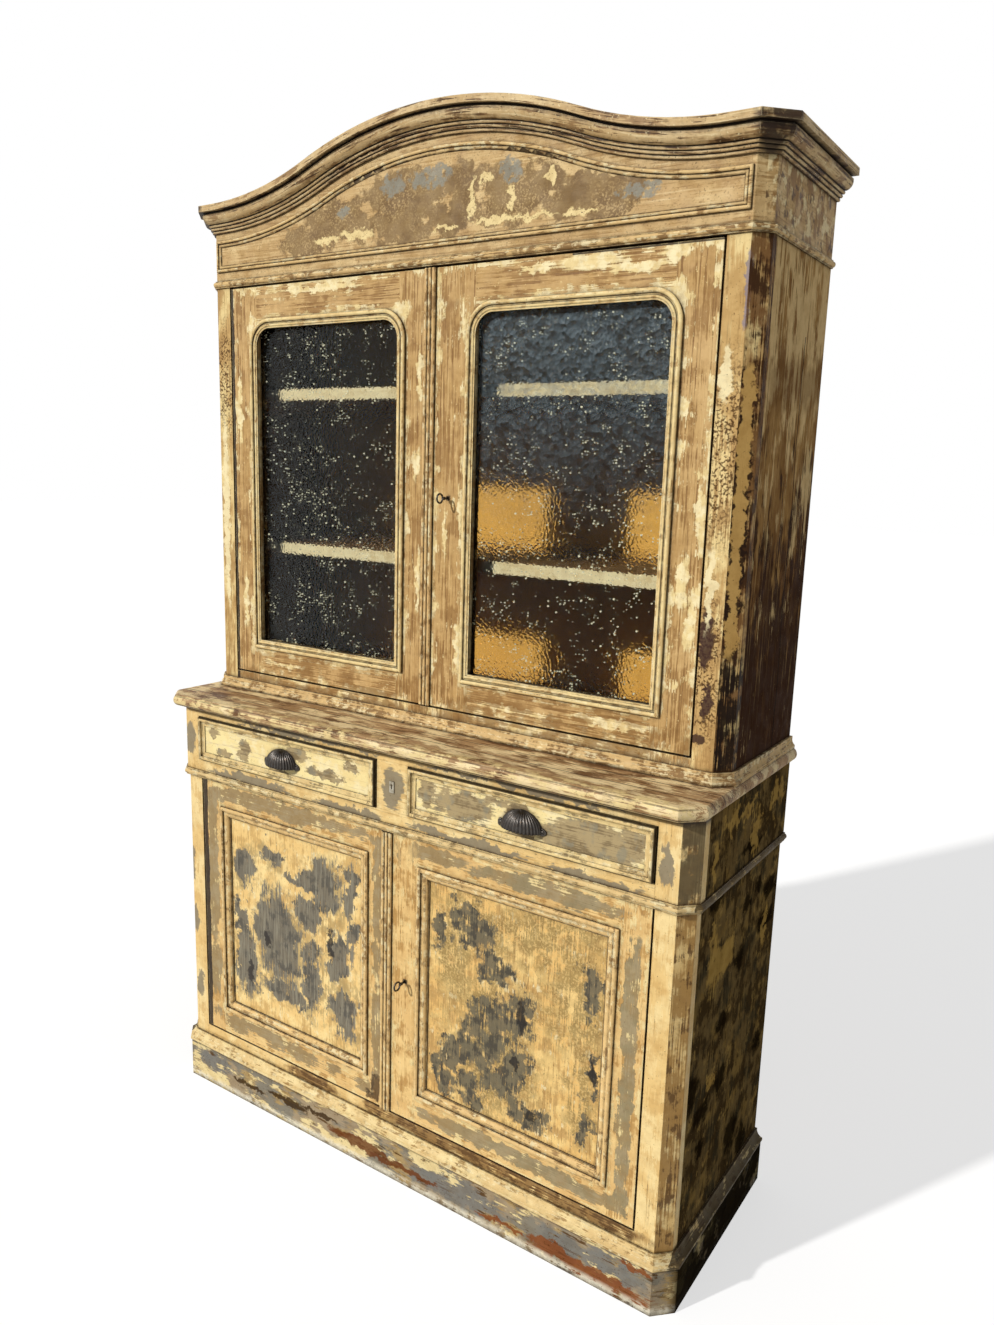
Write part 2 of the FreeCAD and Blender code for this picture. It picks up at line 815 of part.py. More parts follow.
def pivot_pins(face, low, high):
    """Pins in the rails: the lower ones have a collar that carries the door, the upper ones a plate."""
    length = size.pivot_depth * 2 + size.door_gap
    sill = low - size.door_gap
    lintel = high + size.door_gap
    pins = []
    for x, y in pivot_spots(face):
        foot_stem = rod("lower pivot stem", size.pivot_radius, x, y, sill - size.pivot_depth, length)
        collar = rod("lower pivot collar", size.collar_radius, x, y, sill, size.door_gap - size.collar_gap)
        pins.append(fuse("lower pivot", foot_stem, collar))
        head_stem = rod("upper pivot stem", size.pivot_radius, x, y, high - size.pivot_depth, length)
        plate = rod("upper pivot plate", size.collar_radius, x, y, lintel - size.pivot_plate,
                    size.pivot_plate)
        pins.append(fuse("upper pivot", head_stem, plate))
    return pins


def make_door_frame(side, name, face, thick, low, high, stiles, rails, spaces, key_level):
    """Stiles and rails with tenons; spaces are the limits that are cut out of all four."""
    meeting, outer = stiles
    head, foot = rails
    inside = meet + meeting
    outside = door_out - outer
    deep = (face, face + thick)
    shared = [board(name + " space", sided(side, *x), y, z) for x, y, z in spaces]
    tenon_y = (face + (thick - size.tenon_thickness) / 2, face + (thick + size.tenon_thickness) / 2)
    heights = {"head": (high - head, high), "foot": (low, low + foot)}
    meeting_end = sided(side, inside - size.tenon_length, inside)
    outer_end = sided(side, outside, outside + size.tenon_length)
    rail_pieces = []
    meeting_tenons = []
    outer_tenons = []
    for rail, level in heights.items():
        tenon_z = (level[0] + size.tenon_shoulder, level[1] - size.tenon_shoulder)
        meeting_tenons.append(board(name + " meeting tenon", meeting_end, tenon_y, tenon_z))
        outer_tenons.append(board(name + " outer tenon", outer_end, tenon_y, tenon_z))
        blank = board(name + " " + rail + " rail blank", sided(side, inside, outside), deep, level)
        trimmed = cut(name + " trimmed " + rail + " rail", blank, *shared)
        rail_pieces.append(fuse(name + " " + rail + " rail", trimmed, meeting_tenons[-1], outer_tenons[-1]))
    spot = pivot_spots(face)[0 if side > 0 else 1]
    radius = size.pivot_radius + size.pivot_fit
    bore = size.pivot_depth + size.pivot_end_gap
    pivots = [rod(name + " pivot hole", radius, *spot, level, bore) for level in (low, high - bore)]
    outer_blank = board(name + " outer stile blank", sided(side, outside, door_out), deep, (low, high))
    outer_stile = cut(name + " outer stile", outer_blank, *shared, *outer_tenons, *pivots)
    meeting_blank = board(name + " meeting stile blank", sided(side, meet, inside), deep, (low, high))
    lock_cuts = lock_tools(name, face, key_level) if side > 0 else [bolt_mortise(name, face, key_level)]
    meeting_stile = cut(name + " meeting stile", meeting_blank, *shared, *meeting_tenons, *lock_cuts)
    group(name + "_frame", [meeting_stile, outer_stile] + rail_pieces)


def make_lower_door(side, name):
    face = lower_face
    x = (meet + size.lower_meeting_stile, door_out - size.lower_outer_stile)
    z = (lower_door_low + size.lower_foot_rail, lower_door_high - size.lower_top_rail)
    groove = size.panel_groove
    panel_face = face + size.panel_recess
    panel_y = (panel_face, panel_face + size.panel_thickness)
    panel_x = (x[0] - groove, x[1] + groove)
    panel_z = (z[0] - groove, z[1] + groove)
    make_door_frame(side, name, face, size.lower_door_thickness, lower_door_low, lower_door_high,
                    (size.lower_meeting_stile, size.lower_outer_stile),
                    (size.lower_top_rail, size.lower_foot_rail), [(panel_x, panel_y, panel_z)],
                    size.lower_key_level)
    node(board(name + "_panel", sided(side, *panel_x), panel_y, panel_z))
    width = size.panel_frame_width
    recess = size.panel_recess
    crest = -size.panel_frame_proud
    bead = size.panel_frame_bead
    step = size.panel_frame_step
    ledge = crest + step
    toe = recess - size.panel_frame_foot
    slope_end = width - size.panel_frame_foot
    section = [(recess, 0), (crest, 0), (crest, bead, bow(bead, 0, size.panel_frame_bulge), 1), (ledge, bead),
               (ledge, bead + step), (toe, slope_end, bow(toe - ledge, slope_end - bead - step, step), 1),
               (toe, width), (recess, width)]
    group(name + "_moulding", frame_ring(name + " moulding", section, width, sided(side, *x), z, face))


def make_upper_door(side, name):
    face = upper_face
    x = (meet + size.upper_meeting_stile, door_out - size.upper_outer_stile)
    z = (upper_door_low + size.upper_foot_rail, upper_door_high - size.upper_top_rail)
    rear = face + size.upper_door_thickness
    rebate = (rear - size.rebate_depth, rear)
    lip = size.rebate_width
    pane_x = (x[0] - lip, x[1] + lip)
    pane_z = (z[0] - lip, z[1] + lip)
    make_door_frame(side, name, face, size.upper_door_thickness, upper_door_low, upper_door_high,
                    (size.upper_meeting_stile, size.upper_outer_stile),
                    (size.upper_top_rail, size.upper_foot_rail), [(pane_x, rebate, pane_z)],
                    size.upper_key_level)
    glass_y = (rebate[0], rebate[0] + size.glass_thickness)
    node(board(name + "_glass", sided(side, *pane_x), glass_y, pane_z))
    bead_y = (glass_y[1], rear)
    group(name + "_glass_beads", [
        board(name + " near bead", sided(side, pane_x[0], x[0]), bead_y, pane_z),
        board(name + " far bead", sided(side, x[1], pane_x[1]), bead_y, pane_z),
        board(name + " foot bead", sided(side, *x), bead_y, (pane_z[0], z[0])),
        board(name + " head bead", sided(side, *x), bead_y, (z[1], pane_z[1])),
    ])
    lap = size.glazing_width - size.glazing_lap
    make_glazing(name, sided(side, x[0] - lap, x[1] + lap), (z[0] - lap, z[1] + lap), face)


def make_glazing(name, x, z, face):
    """The moulding round the glass: mitred at the foot, with turned corner pieces at the head."""
    width = size.glazing_width
    crest = -size.glazing_proud
    bead = size.glazing_bead
    ledge = crest + size.glazing_step
    lip = width - size.glazing_lip
    start = bead + size.glazing_groove
    section = [(0, 0), (crest, 0), (crest, bead, bow(bead, 0, size.glazing_bulge), 1), (ledge, bead),
               (ledge, start), (ledge, lip, bow(lip - start, 0, size.glazing_step), 1), (ledge, width),
               (0, width)]
    corner = size.glazing_corner + width
    across = measure(x[1]) - x[0]
    tall = z[1] - z[0]
    middle_x = x[0] + across / 2
    upright = tall - corner
    upright_z = z[0] + upright / 2
    label = name + " glazing "
    pieces = [
        frame_strip(label + "foot", section, width, across, (1, 1), (middle_x, face, z[0]), 0),
        frame_strip(label + "head", section, width, across - corner * 2, (0, 0), (middle_x, face, z[1]), 180),
        frame_strip(label + "near", section, width, upright, (0, 1), (x[0], face, upright_z), 90),
        frame_strip(label + "far", section, width, upright, (1, 0), (x[1], face, upright_z), -90),
    ]
    turned = [flipped(point, corner) for point in section]
    for spot, angle in ((x[1] - corner, 0), (x[0] + corner, -90)):
        body = new_body(label + "corner")
        turn = body.newObject("PartDesign::Revolution", "turn")
        turn.Profile = draw(body, "YZ", turned)
        turn.ReferenceAxis = (origin_part(body, "Y_Axis"), [""])
        turn.Angle = 90
        pieces.append(place(body, spot, face, z[1] - corner, Y_AXIS, angle))
    group(name + "_glazing_moulding", pieces)


def make_astragal(label, face, low, high):
    """A reeded strip on the left door, beside the gap between the doors."""
    reed = size.reed_width
    crest = face - size.reed_base
    plan = [(-meet, face), (-meet, crest)]
    for index in range(1, REEDS + 1):
        plan.append((-meet - reed * index, crest, bow(reed, 0, size.reed_bulge), 1))
    plan.append((-meet - reed * REEDS, face))
    node(prism(label, plan, low, high))


# Locks and keys

def lock_limits(face, level):
    x = (meet, meet + size.lock_depth)
    y = (face + size.lock_front, face + size.lock_front + size.lock_thickness)
    z = (level - size.lock_below, level + size.lock_above)
    return x, y, z


def bolt_limits(face, level, room=0):
    """The bolt's limits in y and z, with room all round."""
    wall = size.lock_wall + size.bolt_side
    y = (face + size.lock_front + wall - room, face + size.lock_front + size.lock_thickness - wall + room)
    z = (level + size.bolt_rise - room, level + size.bolt_rise + size.bolt_height + room)
    return y, z


def shank_hole(name, face, level):
    radius = size.shank_radius + size.shank_fit
    reach = size.lock_front + size.lock_wall
    return rod(name + " key hole", radius, meet + size.key_inset, face, level, reach, "y")


def lock_tools(name, face, level):
    return [board(name + " lock mortise", *lock_limits(face, level)), shank_hole(name, face, level)]


def bolt_mortise(name, face, level):
    y, z = bolt_limits(face, level, size.bolt_side)
    return board(name + " bolt mortise", (-meet - size.bolt_throw - size.bolt_side, -meet), y, z)


def make_lock(name, face, level):
    """A mortised lock: its case, its sliding bolt and the key that turns in it."""
    x, y, z = lock_limits(face, level)
    wall = size.lock_wall
    shell = board(name + " lock shell", x, y, z)
    room = board(name + " lock room", *[(low + wall, high - wall) for low, high in (x, y, z)])
    slot_y, slot_z = bolt_limits(face, level, size.bolt_fit)
    slot = board(name + " bolt slot", (x[0], x[0] + wall), slot_y, slot_z)
    node(cut(name + "_lock", shell, room, slot, shank_hole(name, face, level)))
    node(board(name + "_bolt", (x[0], x[0] + size.bolt_length), *bolt_limits(face, level)))
    axis = meet + size.key_inset
    bit_low = face + size.lock_front + wall + (size.lock_thickness - wall * 2 - size.bit_width) / 2
    shank_end = bit_low + size.bit_width
    shank_start = face - size.shank_reach
    shank = rod(name + " key shank", size.shank_radius, axis, shank_start, level,
                shank_end - shank_start, "y")
    bit = board(name + " key bit", (axis - size.bit_thickness / 2, axis + size.bit_thickness / 2),
                (bit_low, shank_end), (level - size.bit_reach, level))
    ring = doc.addObject("Part::Torus", "ring")
    ring.Label = name + " key ring"
    bind(ring, "Radius1", size.bow_radius)
    bind(ring, "Radius2", size.bow_wire)
    place(ring, axis, shank_start - size.bow_radius, level, Y_AXIS, 90)
    node(fuse(name + "_key", shank, bit, ring))


# Upper case

def make_upper_case():
    chamfer = size.corner_chamfer
    plan = post_plan(post_in, half, upper_face, upper_post_back, chamfer)
    group("upper_posts", pair("left upper post", prism("upper post", plan, counter_high, frieze_low)))
    walls = side_planks("upper side", (inner_half, half), upper_post_back, (counter_high, frieze_low))
    group("upper_sides", walls + [mirrored("left " + wall.Label, wall) for wall in walls])
    group("upper_back", planks("upper back", BACK_PLANKS, (-inner_half, inner_half), (inner_back, back),
                               (counter_high, top_board_low)))
    inside = ((-inner_half, inner_half), (upper_post_back, inner_back))
    node(board("upper_bottom", *inside, (upper_rail_top - size.board, upper_rail_top)))
    front = upper_face + size.frieze_board
    corner = upper_face + chamfer
    trimmed = half - chamfer + size.frieze_board
    top_plan = [(-trimmed, front), (trimmed, front), (half, corner), (half, back), (-half, back),
                (-half, corner)]
    node(prism("upper_top", top_plan, top_board_low, top_board_low + size.top_board))
    levels = (size.first_shelf_level, size.second_shelf_level)
    thick = size.shelf_thickness
    group("upper_shelves", [board("shelf", *inside, (level - thick, level)) for level in levels])
    make_cleats(levels)
    rail_x = (-post_in, post_in)
    rail_y = (upper_face, upper_post_back)
    holes = pivot_holes(upper_face, upper_door_low, upper_door_high)
    foot_rail = board("upper foot rail", rail_x, rail_y, (counter_high, upper_rail_top))
    head_rail = board("upper head rail", rail_x, rail_y, (top_rail_low, frieze_low))
    stop = board("upper door stop", rail_x,
                 (upper_face + size.upper_door_thickness + size.stop_gap, upper_post_back),
                 (upper_rail_top, upper_rail_top + size.door_gap * 2))
    group("upper_rails", [cut("drilled upper foot rail", foot_rail, *holes[:2]), stop,
                          cut("drilled upper head rail", head_rail, *holes[2:])])
    base = hollow_profile(size.base_height, size.base_projection, size.base_fillet, size.base_hollow)
    round_case("upper_base_moulding", base, (-size.base_projection, 0), half, upper_face, chamfer,
               counter_high)
    bead = bead_profile(size.astragal_height, size.astragal_flat, size.astragal_fillet, size.astragal_bulge)
    reach = size.astragal_flat + size.astragal_bulge
    round_case("frieze_base_moulding", bead, (-reach, 0), half, upper_face, chamfer, top_rail_low)


def make_cleats(levels):
    """Strips on the side walls that carry the shelves."""
    cleats = []
    places = [(level, upper_post_back) for level in levels] + [(size.lower_shelf_level, lower_post_back)]
    for level, front in places:
        top = level - size.shelf_thickness
        cleat = board("cleat", (inner_half - size.cleat, inner_half), (front, inner_back),
                      (top - size.cleat, top))
        cleats += pair("left cleat", cleat)
    group("shelf_cleats", cleats)


def make_frieze():
    """The arched front board, which runs up behind the cornice, and the two frieze ends."""
    body = new_body("frieze front")
    rise = size.cornice_height - size.quirk_height
    shoulder = size.frieze_height + rise
    crest = arch(-rise, size.frieze_height)
    outline = [(-half, 0), (-half, shoulder)] + crest + [(half, shoulder), (half, 0)]
    pad(body, draw(body, "XZ", outline), size.frieze_board, turned=True)
    edge = half - size.corner_chamfer - CUT_MARGIN
    outer = half + CUT_MARGIN
    for way in (-1, 1):
        pocket(body, "XY", [(edge * way, -CUT_MARGIN), (outer * way, size.corner_chamfer + CUT_MARGIN),
                            (outer * way, -CUT_MARGIN)])
    place(body, 0, upper_face, frieze_low)
    front = upper_face + size.frieze_board
    end_plan = [(inner_half, front), (half - size.corner_chamfer + size.frieze_board, front),
                (half, upper_face + size.corner_chamfer), (half, back), (inner_half, back)]
    end = prism("frieze end", end_plan, frieze_low, top_board_low)
    group("frieze_boards", [body] + pair("left frieze end", end))


def make_frieze_frame():
    width = size.frieze_frame_width
    crest = -size.frieze_frame_proud
    bead = size.frieze_frame_bead
    bulge = size.frieze_frame_bulge
    low = crest + bulge
    lip = -size.frieze_frame_lip
    section = [(0, 0), (crest, 0), (crest, bead, bow(bead, 0, bulge), 1), (low, bead),
               (lip, width, bow(width - bead, lip - low, bulge), 1), (0, width)]
    edge = half - size.frieze_frame_end
    foot = frieze_low + size.frieze_frame_bottom
    head = cornice_low - size.frieze_frame_top
    tall = head - foot
    end = frame_strip("frieze frame end", section, width, tall, (1, 1),
                      (edge, upper_face, foot + tall / 2), -90)
    pieces = [frame_strip("frieze frame foot", section, width, edge * 2, (1, 1), (0, upper_face, foot), 0)]
    body = new_body("frieze frame arch")
    profile = draw(body, "YZ", [flipped(point, 0) for point in section])
    bind(profile, "AttachmentOffset.Base.z", -edge)
    drop = size.frieze_frame_top
    path = draw(body, "XZ", [(-edge, 0)] + arch(drop, drop) + [(edge, 0)], closed=False)
    pipe = body.newObject("PartDesign::AdditivePipe", "pipe")
    pipe.Profile = profile
    pipe.Spine = path
    for way in (-1, 1):
        pocket(body, "XZ", [((edge + CUT_MARGIN) * way, CUT_MARGIN),
                            ((edge - width - CUT_MARGIN) * way, -width - CUT_MARGIN),
                            ((edge + CUT_MARGIN) * way, -width - CUT_MARGIN)])
    pieces.append(place(body, 0, upper_face, head))
    group("frieze_frame_moulding", pieces + pair("left frieze frame end", end))


def make_cornice():
    """Three beads, an ovolo, a quirk and a square top fillet, each further out than the last."""
    step = size.cornice_step
    bead = size.cornice_bead
    bend = bow(bead, 0, size.cornice_bulge)
    section = [(0, 0), (-step, 0), (-step, bead, bend, 1), (step * -2, bead), (step * -2, bead * 2, bend, 1),
               (step * -3, bead * 2), (step * -3, bead * 3, bend, 1)]
    ovolo = -size.ovolo_projection
    crown = bead * 3 + size.ovolo_height
    quirk = crown + size.ovolo_edge
    groove = ovolo + size.quirk_depth
    top = -size.cornice_projection
    fillet = quirk + size.quirk_height
    section += [(step * -4, bead * 3), (ovolo, crown, size.ovolo_radius, 1), (ovolo, quirk), (groove, quirk),
                (groove, fillet), (top, fillet), (top, size.cornice_height), (0, size.cornice_height)]
    round_case("cornice", section, (top, 0), half, upper_face, size.corner_chamfer, cornice_low, arched=True)


def write_parts():
    """Checks every object, then writes one file for each sub-part."""
    doc.recompute()
    for thing in doc.Objects:
        if any(word in thing.State for word in ("Invalid", "Error")):
            raise RuntimeError(thing.Label + " failed: " + str(thing.State))
    for piece in nodes:
        if piece.Shape.isNull() or not piece.Shape.isValid():
            raise RuntimeError(piece.Label + " has no valid shape")
    os.makedirs("parts", exist_ok=True)
    for piece in nodes:
        piece.Shape.exportStep("parts/" + piece.Label + ".step")


make_plinth()
make_lower_case()
make_counter()
make_keyhole_plate()
for side, hand in ((-1, "left"), (1, "right")):
    make_drawer(side, hand + "_drawer")
    make_lower_door(side, "lower_" + hand + "_door")
    make_upper_door(side, "upper_" + hand + "_door")
make_astragal("lower_left_door_astragal", lower_face, lower_door_low, lower_door_high)
make_astragal("upper_left_door_astragal", upper_face, upper_door_low, upper_door_high)
make_lock("lower", lower_face, size.lower_key_level)
make_lock("upper", upper_face, size.upper_key_level)
group("pivot_pins", pivot_pins(lower_face, lower_door_low, lower_door_high)
      + pivot_pins(upper_face, upper_door_low, upper_door_high))
make_upper_case()
make_frieze()
make_frieze_frame()
make_cornice()
write_parts()
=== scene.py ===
"""Looks of a worn two-part glazed cupboard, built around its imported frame."""

import math
from statistics import NormalDist

import bmesh
import bpy
from bpy.props import FloatProperty, FloatVectorProperty, IntProperty, PointerProperty
from mathutils import Matrix, Vector


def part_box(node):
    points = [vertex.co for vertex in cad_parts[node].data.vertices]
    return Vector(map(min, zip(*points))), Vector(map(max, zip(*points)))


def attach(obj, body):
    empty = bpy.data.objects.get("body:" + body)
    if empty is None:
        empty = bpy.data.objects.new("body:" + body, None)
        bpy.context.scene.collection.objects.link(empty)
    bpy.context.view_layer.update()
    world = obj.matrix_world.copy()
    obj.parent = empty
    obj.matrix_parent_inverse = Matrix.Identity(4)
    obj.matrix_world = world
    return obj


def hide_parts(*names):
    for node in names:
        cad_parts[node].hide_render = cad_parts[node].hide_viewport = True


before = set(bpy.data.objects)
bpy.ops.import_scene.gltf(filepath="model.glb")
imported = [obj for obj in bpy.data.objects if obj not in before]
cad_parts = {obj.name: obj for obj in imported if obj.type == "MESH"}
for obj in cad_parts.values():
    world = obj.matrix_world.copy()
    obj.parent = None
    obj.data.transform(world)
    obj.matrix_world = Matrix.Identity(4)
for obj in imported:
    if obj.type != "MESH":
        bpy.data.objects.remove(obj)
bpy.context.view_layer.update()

bl_info = {
    "name": "Worn Glazed Cupboard",
    "version": (1, 0, 0),
    "blender": (4, 5, 0),
    "location": "View3D > Sidebar > Cupboard",
    "description": "Paints and fits out a two-part glazed cupboard around its packed frame",
    "category": "Object",
}

MM = 0.001
PLANKS = 6
# One standard deviation of Blender's noise about its mean of a half.
NOISE_SPREAD = 0.11
# How many times longer than wide brush marks are, upwards, level, and level round the case.
UP = (1, 1, 34)
LEVEL = (34, 1, 1)
ROUND = (34, 34, 1)
# The grain of bare boards is longer still.
GRAIN_UP = (1, 1, 45)
GRAIN_LEVEL = (45, 1, 1)
IRON = "blackened_cast_iron"


def linear(colour):
    """Turns an sRGB hex colour into the linear one that a shader takes; a property's is linear already."""
    if not isinstance(colour, str):
        return list(colour)
    parts = [int(colour[i : i + 2], 16) / 255 for i in (1, 3, 5)]
    return [p / 12.92 if p <= 0.04045 else ((p + 0.055) / 1.055) ** 2.4 for p in parts] + [1.0]


def add_node(tree, kind, sockets=None, out=0, **settings):
    """Adds a shader node with its settings, fills or links its sockets, and gives back one output."""
    node = tree.nodes.new("ShaderNode" + kind)
    for name, value in settings.items():
        setattr(node, name, value)
    for key, value in (sockets or {}).items():
        if isinstance(value, bpy.types.NodeSocket):
            tree.links.new(value, node.inputs[key])
        else:
            node.inputs[key].default_value = value
    return node.outputs[out] if node.outputs else node


def empty_tree(block):
    """Gives a material or a world an empty node tree."""
    block.use_nodes = True
    block.node_tree.nodes.clear()
    return block.node_tree


def past(limit):
    """The limits of a mask that starts at once past a place in millimetres."""
    return limit - 0.1, limit + 0.1


def short_of(limit):
    """The limits of a mask that ends at once at a place in millimetres."""
    return limit + 0.1, limit - 0.1


class Finish:
    """A finish in the making: its nodes, places on the piece in millimetres, and the coats laid so far."""

    def __init__(self, name, ground):
        self.material = bpy.data.materials.new(name)
        self.tree = empty_tree(self.material)
        spot = self.add("TexCoord", out="Object")
        self.facing = self.parts(self.add("TexCoord", out="Normal"))
        self.place = self.add("VectorMath", {0: spot, "Scale": 1 / MM}, operation="SCALE")
        self.x, self.y, self.z = self.parts(self.place)
        self.across = self.add("Math", {0: self.x}, operation="ABSOLUTE")
        self.colour = linear(ground)
        self.height = 0.0
        self.strokes = None
        self.soft = None

    def add(self, kind, sockets=None, out=0, **settings):
        """Adds a node to this finish."""
        return add_node(self.tree, kind, sockets, out, **settings)

    def parts(self, vector):
        """The three parts of a vector."""
        return self.add("SeparateXYZ", {0: vector}).node.outputs[:3]

    def clouds(self, size, stretch=(1, 1, 1), shift=0, detail=4, rough=0.6, at=None, out=0):
        """Soft noise with lumps of about size millimetres, drawn out along each axis by stretch; each
        shift shows another part of the noise."""
        at = self.place if at is None else at
        move = {"Location": (shift, shift * 1.7, -shift), "Scale": [1 / (size * s) for s in stretch]}
        spot = self.add("Mapping", {"Vector": at, **move})
        lumps = {"Vector": spot, "Scale": 1, "Detail": detail, "Roughness": rough}
        return self.add("TexNoise", lumps, out)

    def run(self, stretch=UP, level=None, width=3.6, at=None):
        """Sets the way of the grain and brush marks: as stretch says, but level within a span across.
        Real ones are about a millimetre wide, too fine to show, so they are drawn as coarse as width."""
        self.strokes = self.clouds(width, stretch, rough=0.68, at=at)
        if level is not None:
            span = {1: sum(level) / 2, 2: (level[1] - level[0]) / 2}
            rail = self.add("Math", {0: self.across, **span}, operation="COMPARE")
            long = self.clouds(width, LEVEL, rough=0.68)
            self.strokes = self.add("Mix", {0: rail, 2: self.strokes, 3: long}, data_type="FLOAT")

    def patches(self, size, cover, crisp=0.02, bias=None, brush=0, **pattern):
        """Ragged patches over about that share of the surface, drawn out by the brush marks, and more
        of them where bias is high."""
        spread = NOISE_SPREAD * math.hypot(1, brush)
        level = 0.5 + spread * NormalDist().inv_cdf(1 - cover) + brush * 0.5
        value = self.clouds(size, **pattern)
        if brush:
            value = self.add("Math", {0: self.strokes, 1: brush, 2: value}, operation="MULTIPLY_ADD")
        if bias is not None:
            value = self.add("Math", {0: value, 1: bias}, operation="ADD")
        ends = {"From Min": level - crisp, "From Max": level + crisp}
        return self.add("MapRange", {"Value": value, **ends})

    def islands(self, spots, ragged=14, size=45, soft=0.12, axes=(0, 2), brush=0):
        """Patches given one by one, each by its middle and half sizes in millimetres across and up.
        Their outlines wander by about ragged millimetres and run out along the brush marks, and those
        that touch melt together."""
        ragged, melt = ragged / NOISE_SPREAD, 0.25
        wander = {0: self.clouds(size, detail=6, rough=0.62, out="Color"), 1: [ragged] * 3, 2: self.place}
        moved = self.add("VectorMath", wander, operation="MULTIPLY_ADD")
        nearest = None
        for across, up, half_across, half_up in spots:
            scale, start = [0, 0, 0], [0, 0, 0]
            for axis, middle, half in zip(axes, (across, up), (half_across, half_up)):
                scale[axis] = 1 / half
                start[axis] = -(middle + ragged / 2) / half
            offset = self.add("VectorMath", {0: moved, 1: scale, 2: start}, operation="MULTIPLY_ADD")
            reach = self.add("VectorMath", {0: offset}, "Value", operation="LENGTH")
            if nearest is not None:
                reach = self.add("Math", {0: nearest, 1: reach, 2: melt}, operation="SMOOTH_MIN")
            nearest = reach
        if brush:
            drawn = {0: self.strokes, 1: brush, 2: nearest}
            nearest = self.add("Math", drawn, operation="MULTIPLY_ADD")
        edge = 1 + brush * 0.5
        ends = {"From Min": edge + soft, "From Max": edge - soft}
        return self.add("MapRange", {"Value": nearest, **ends})

    def dots(self, spacing, radius, share):
        """Crisp round specks on the front, up to a radius in millimetres, at a share of places."""
        spot = {"Vector": self.add("CombineXYZ", {0: self.x, 1: self.z}), "Scale": 1 / spacing}
        scatter = self.add("TexVoronoi", spot, voronoi_dimensions="2D").node.outputs
        pick, reach, _ = self.parts(scatter["Color"])
        reach = self.both(reach, radius / spacing)
        inside = self.add("Math", {0: scatter["Distance"], 1: reach}, operation="LESS_THAN")
        chosen = self.add("Math", {0: pick, 1: share}, operation="LESS_THAN")
        return self.both(inside, chosen)

    def zone(self, **limits):
        """Where each measure named (x, across, y or z) has gone from its first limit to its second."""
        mask = 1.0
        for axis, (start, end) in limits.items():
            ends = {"Value": getattr(self, axis), "From Min": start, "From Max": end}
            mask = self.both(self.add("MapRange", ends), mask)
        return mask

    def rim(self, rectangle):
        """How far a place lies outside a rectangle on the front, alike on both halves."""
        gaps = []
        for value, middle, half in zip((self.across, self.z), *rectangle):
            off = self.add("Math", {0: value, 1: middle}, operation="SUBTRACT")
            off = self.add("Math", {0: off}, operation="ABSOLUTE")
            gaps.append(self.add("Math", {0: off, 1: half}, operation="SUBTRACT"))
        return self.either(*gaps)

    def along_edges(self, opening, door, reach, edge, middle):
        """A bias with one value at the moulding and outer edge of a door frame and another in the middle
        of its boards, going from one to the other within a reach in millimetres."""
        inward = self.both(self.rim(door), -1)
        gap = self.add("Math", {0: self.rim(opening), 1: inward}, operation="MINIMUM")
        ends = {"From Min": reach[0], "From Max": reach[1], "To Min": edge, "To Max": middle}
        return self.add("MapRange", {"Value": gap, **ends})

    def both(self, one, other):
        """Where both masks are on, or a mask at a part of its strength."""
        return self.add("Math", {0: one, 1: other}, operation="MULTIPLY")

    def either(self, one, other):
        """Where one mask or the other is on."""
        return self.add("Math", {0: one, 1: other}, operation="MAXIMUM")

    def lay(self, mask, colour, strength=1, where=None, thick=0, blend="MIX"):
        """Lays colour through a mask, thick millimetres high or deep, and gives back where it lies."""
        if where is not None:
            mask = self.both(mask, where)
        if thick:
            self.build_up(mask, thick)
        mixed = {0: self.both(mask, strength), 6: self.colour, 7: linear(colour)}
        self.colour = self.add("Mix", mixed, 2, data_type="RGBA", blend_type=blend)
        return mask

    def coat(self, colour, strength, size, cover, where=None, thick=0, blend="MIX", **pattern):
        """Lays colour in scattered patches."""
        return self.lay(self.patches(size, cover, **pattern), colour, strength, where, thick, blend)

    def blot(self, colour, strength, spots, where=None, thick=0, **outline):
        """Lays colour in patches given one by one."""
        return self.lay(self.islands(spots, **outline), colour, strength, where, thick)

    def specks(self, colour, strength=0.75, cover=0.05, size=4, shift=3):
        """Lays small flecks where paint has flaked or dirt has stuck."""
        self.coat(colour, strength, size, cover, shift=shift, detail=3)

    def streaks(self, colour, cover, strength=0.6, light=False, crisp=0.03, where=None):
        """Lays lines of colour along the grain, the dark ones sunk, and light ones proud between them."""
        level = 0.5 + NOISE_SPREAD * NormalDist().inv_cdf(cover if light else 1 - cover)
        rise = -crisp if light else crisp
        ends = {"From Min": level - rise, "From Max": level + rise}
        mask = self.add("MapRange", {"Value": self.strokes, **ends})
        self.build_up(mask, 0.08 if light else -0.12)
        self.lay(mask, colour, strength, where)

    def build_up(self, mask, thick):
        """Raises the surface through a mask by a thickness in millimetres."""
        raised = {0: mask, 1: thick, 2: self.height}
        self.height = self.add("Math", raised, operation="MULTIPLY_ADD")

    def dirt_and_shade(self, colour, reach, strength=0.85, low=0.45, high=0.95):
        """Dark dirt, and painted shade, held in corners and quirks within a reach in millimetres."""
        ragged = 0.6
        open_air = self.add("AmbientOcclusion", {"Distance": reach * MM}, "AO", samples=6)
        broken = {0: self.clouds(12, detail=5), 1: ragged, 2: open_air}
        open_air = self.add("Math", broken, operation="MULTIPLY_ADD")
        ends = {"From Min": high + ragged / 2, "From Max": low + ragged / 2}
        self.lay(self.add("MapRange", {"Value": open_air, **ends}), colour, strength)

    def soften(self, radius):
        """Rounds every arris a little, as years of paint and hands do."""
        if self.soft is None:
            self.soft = self.add("Bevel", {"Radius": radius * MM}, samples=4)
        return self.soft

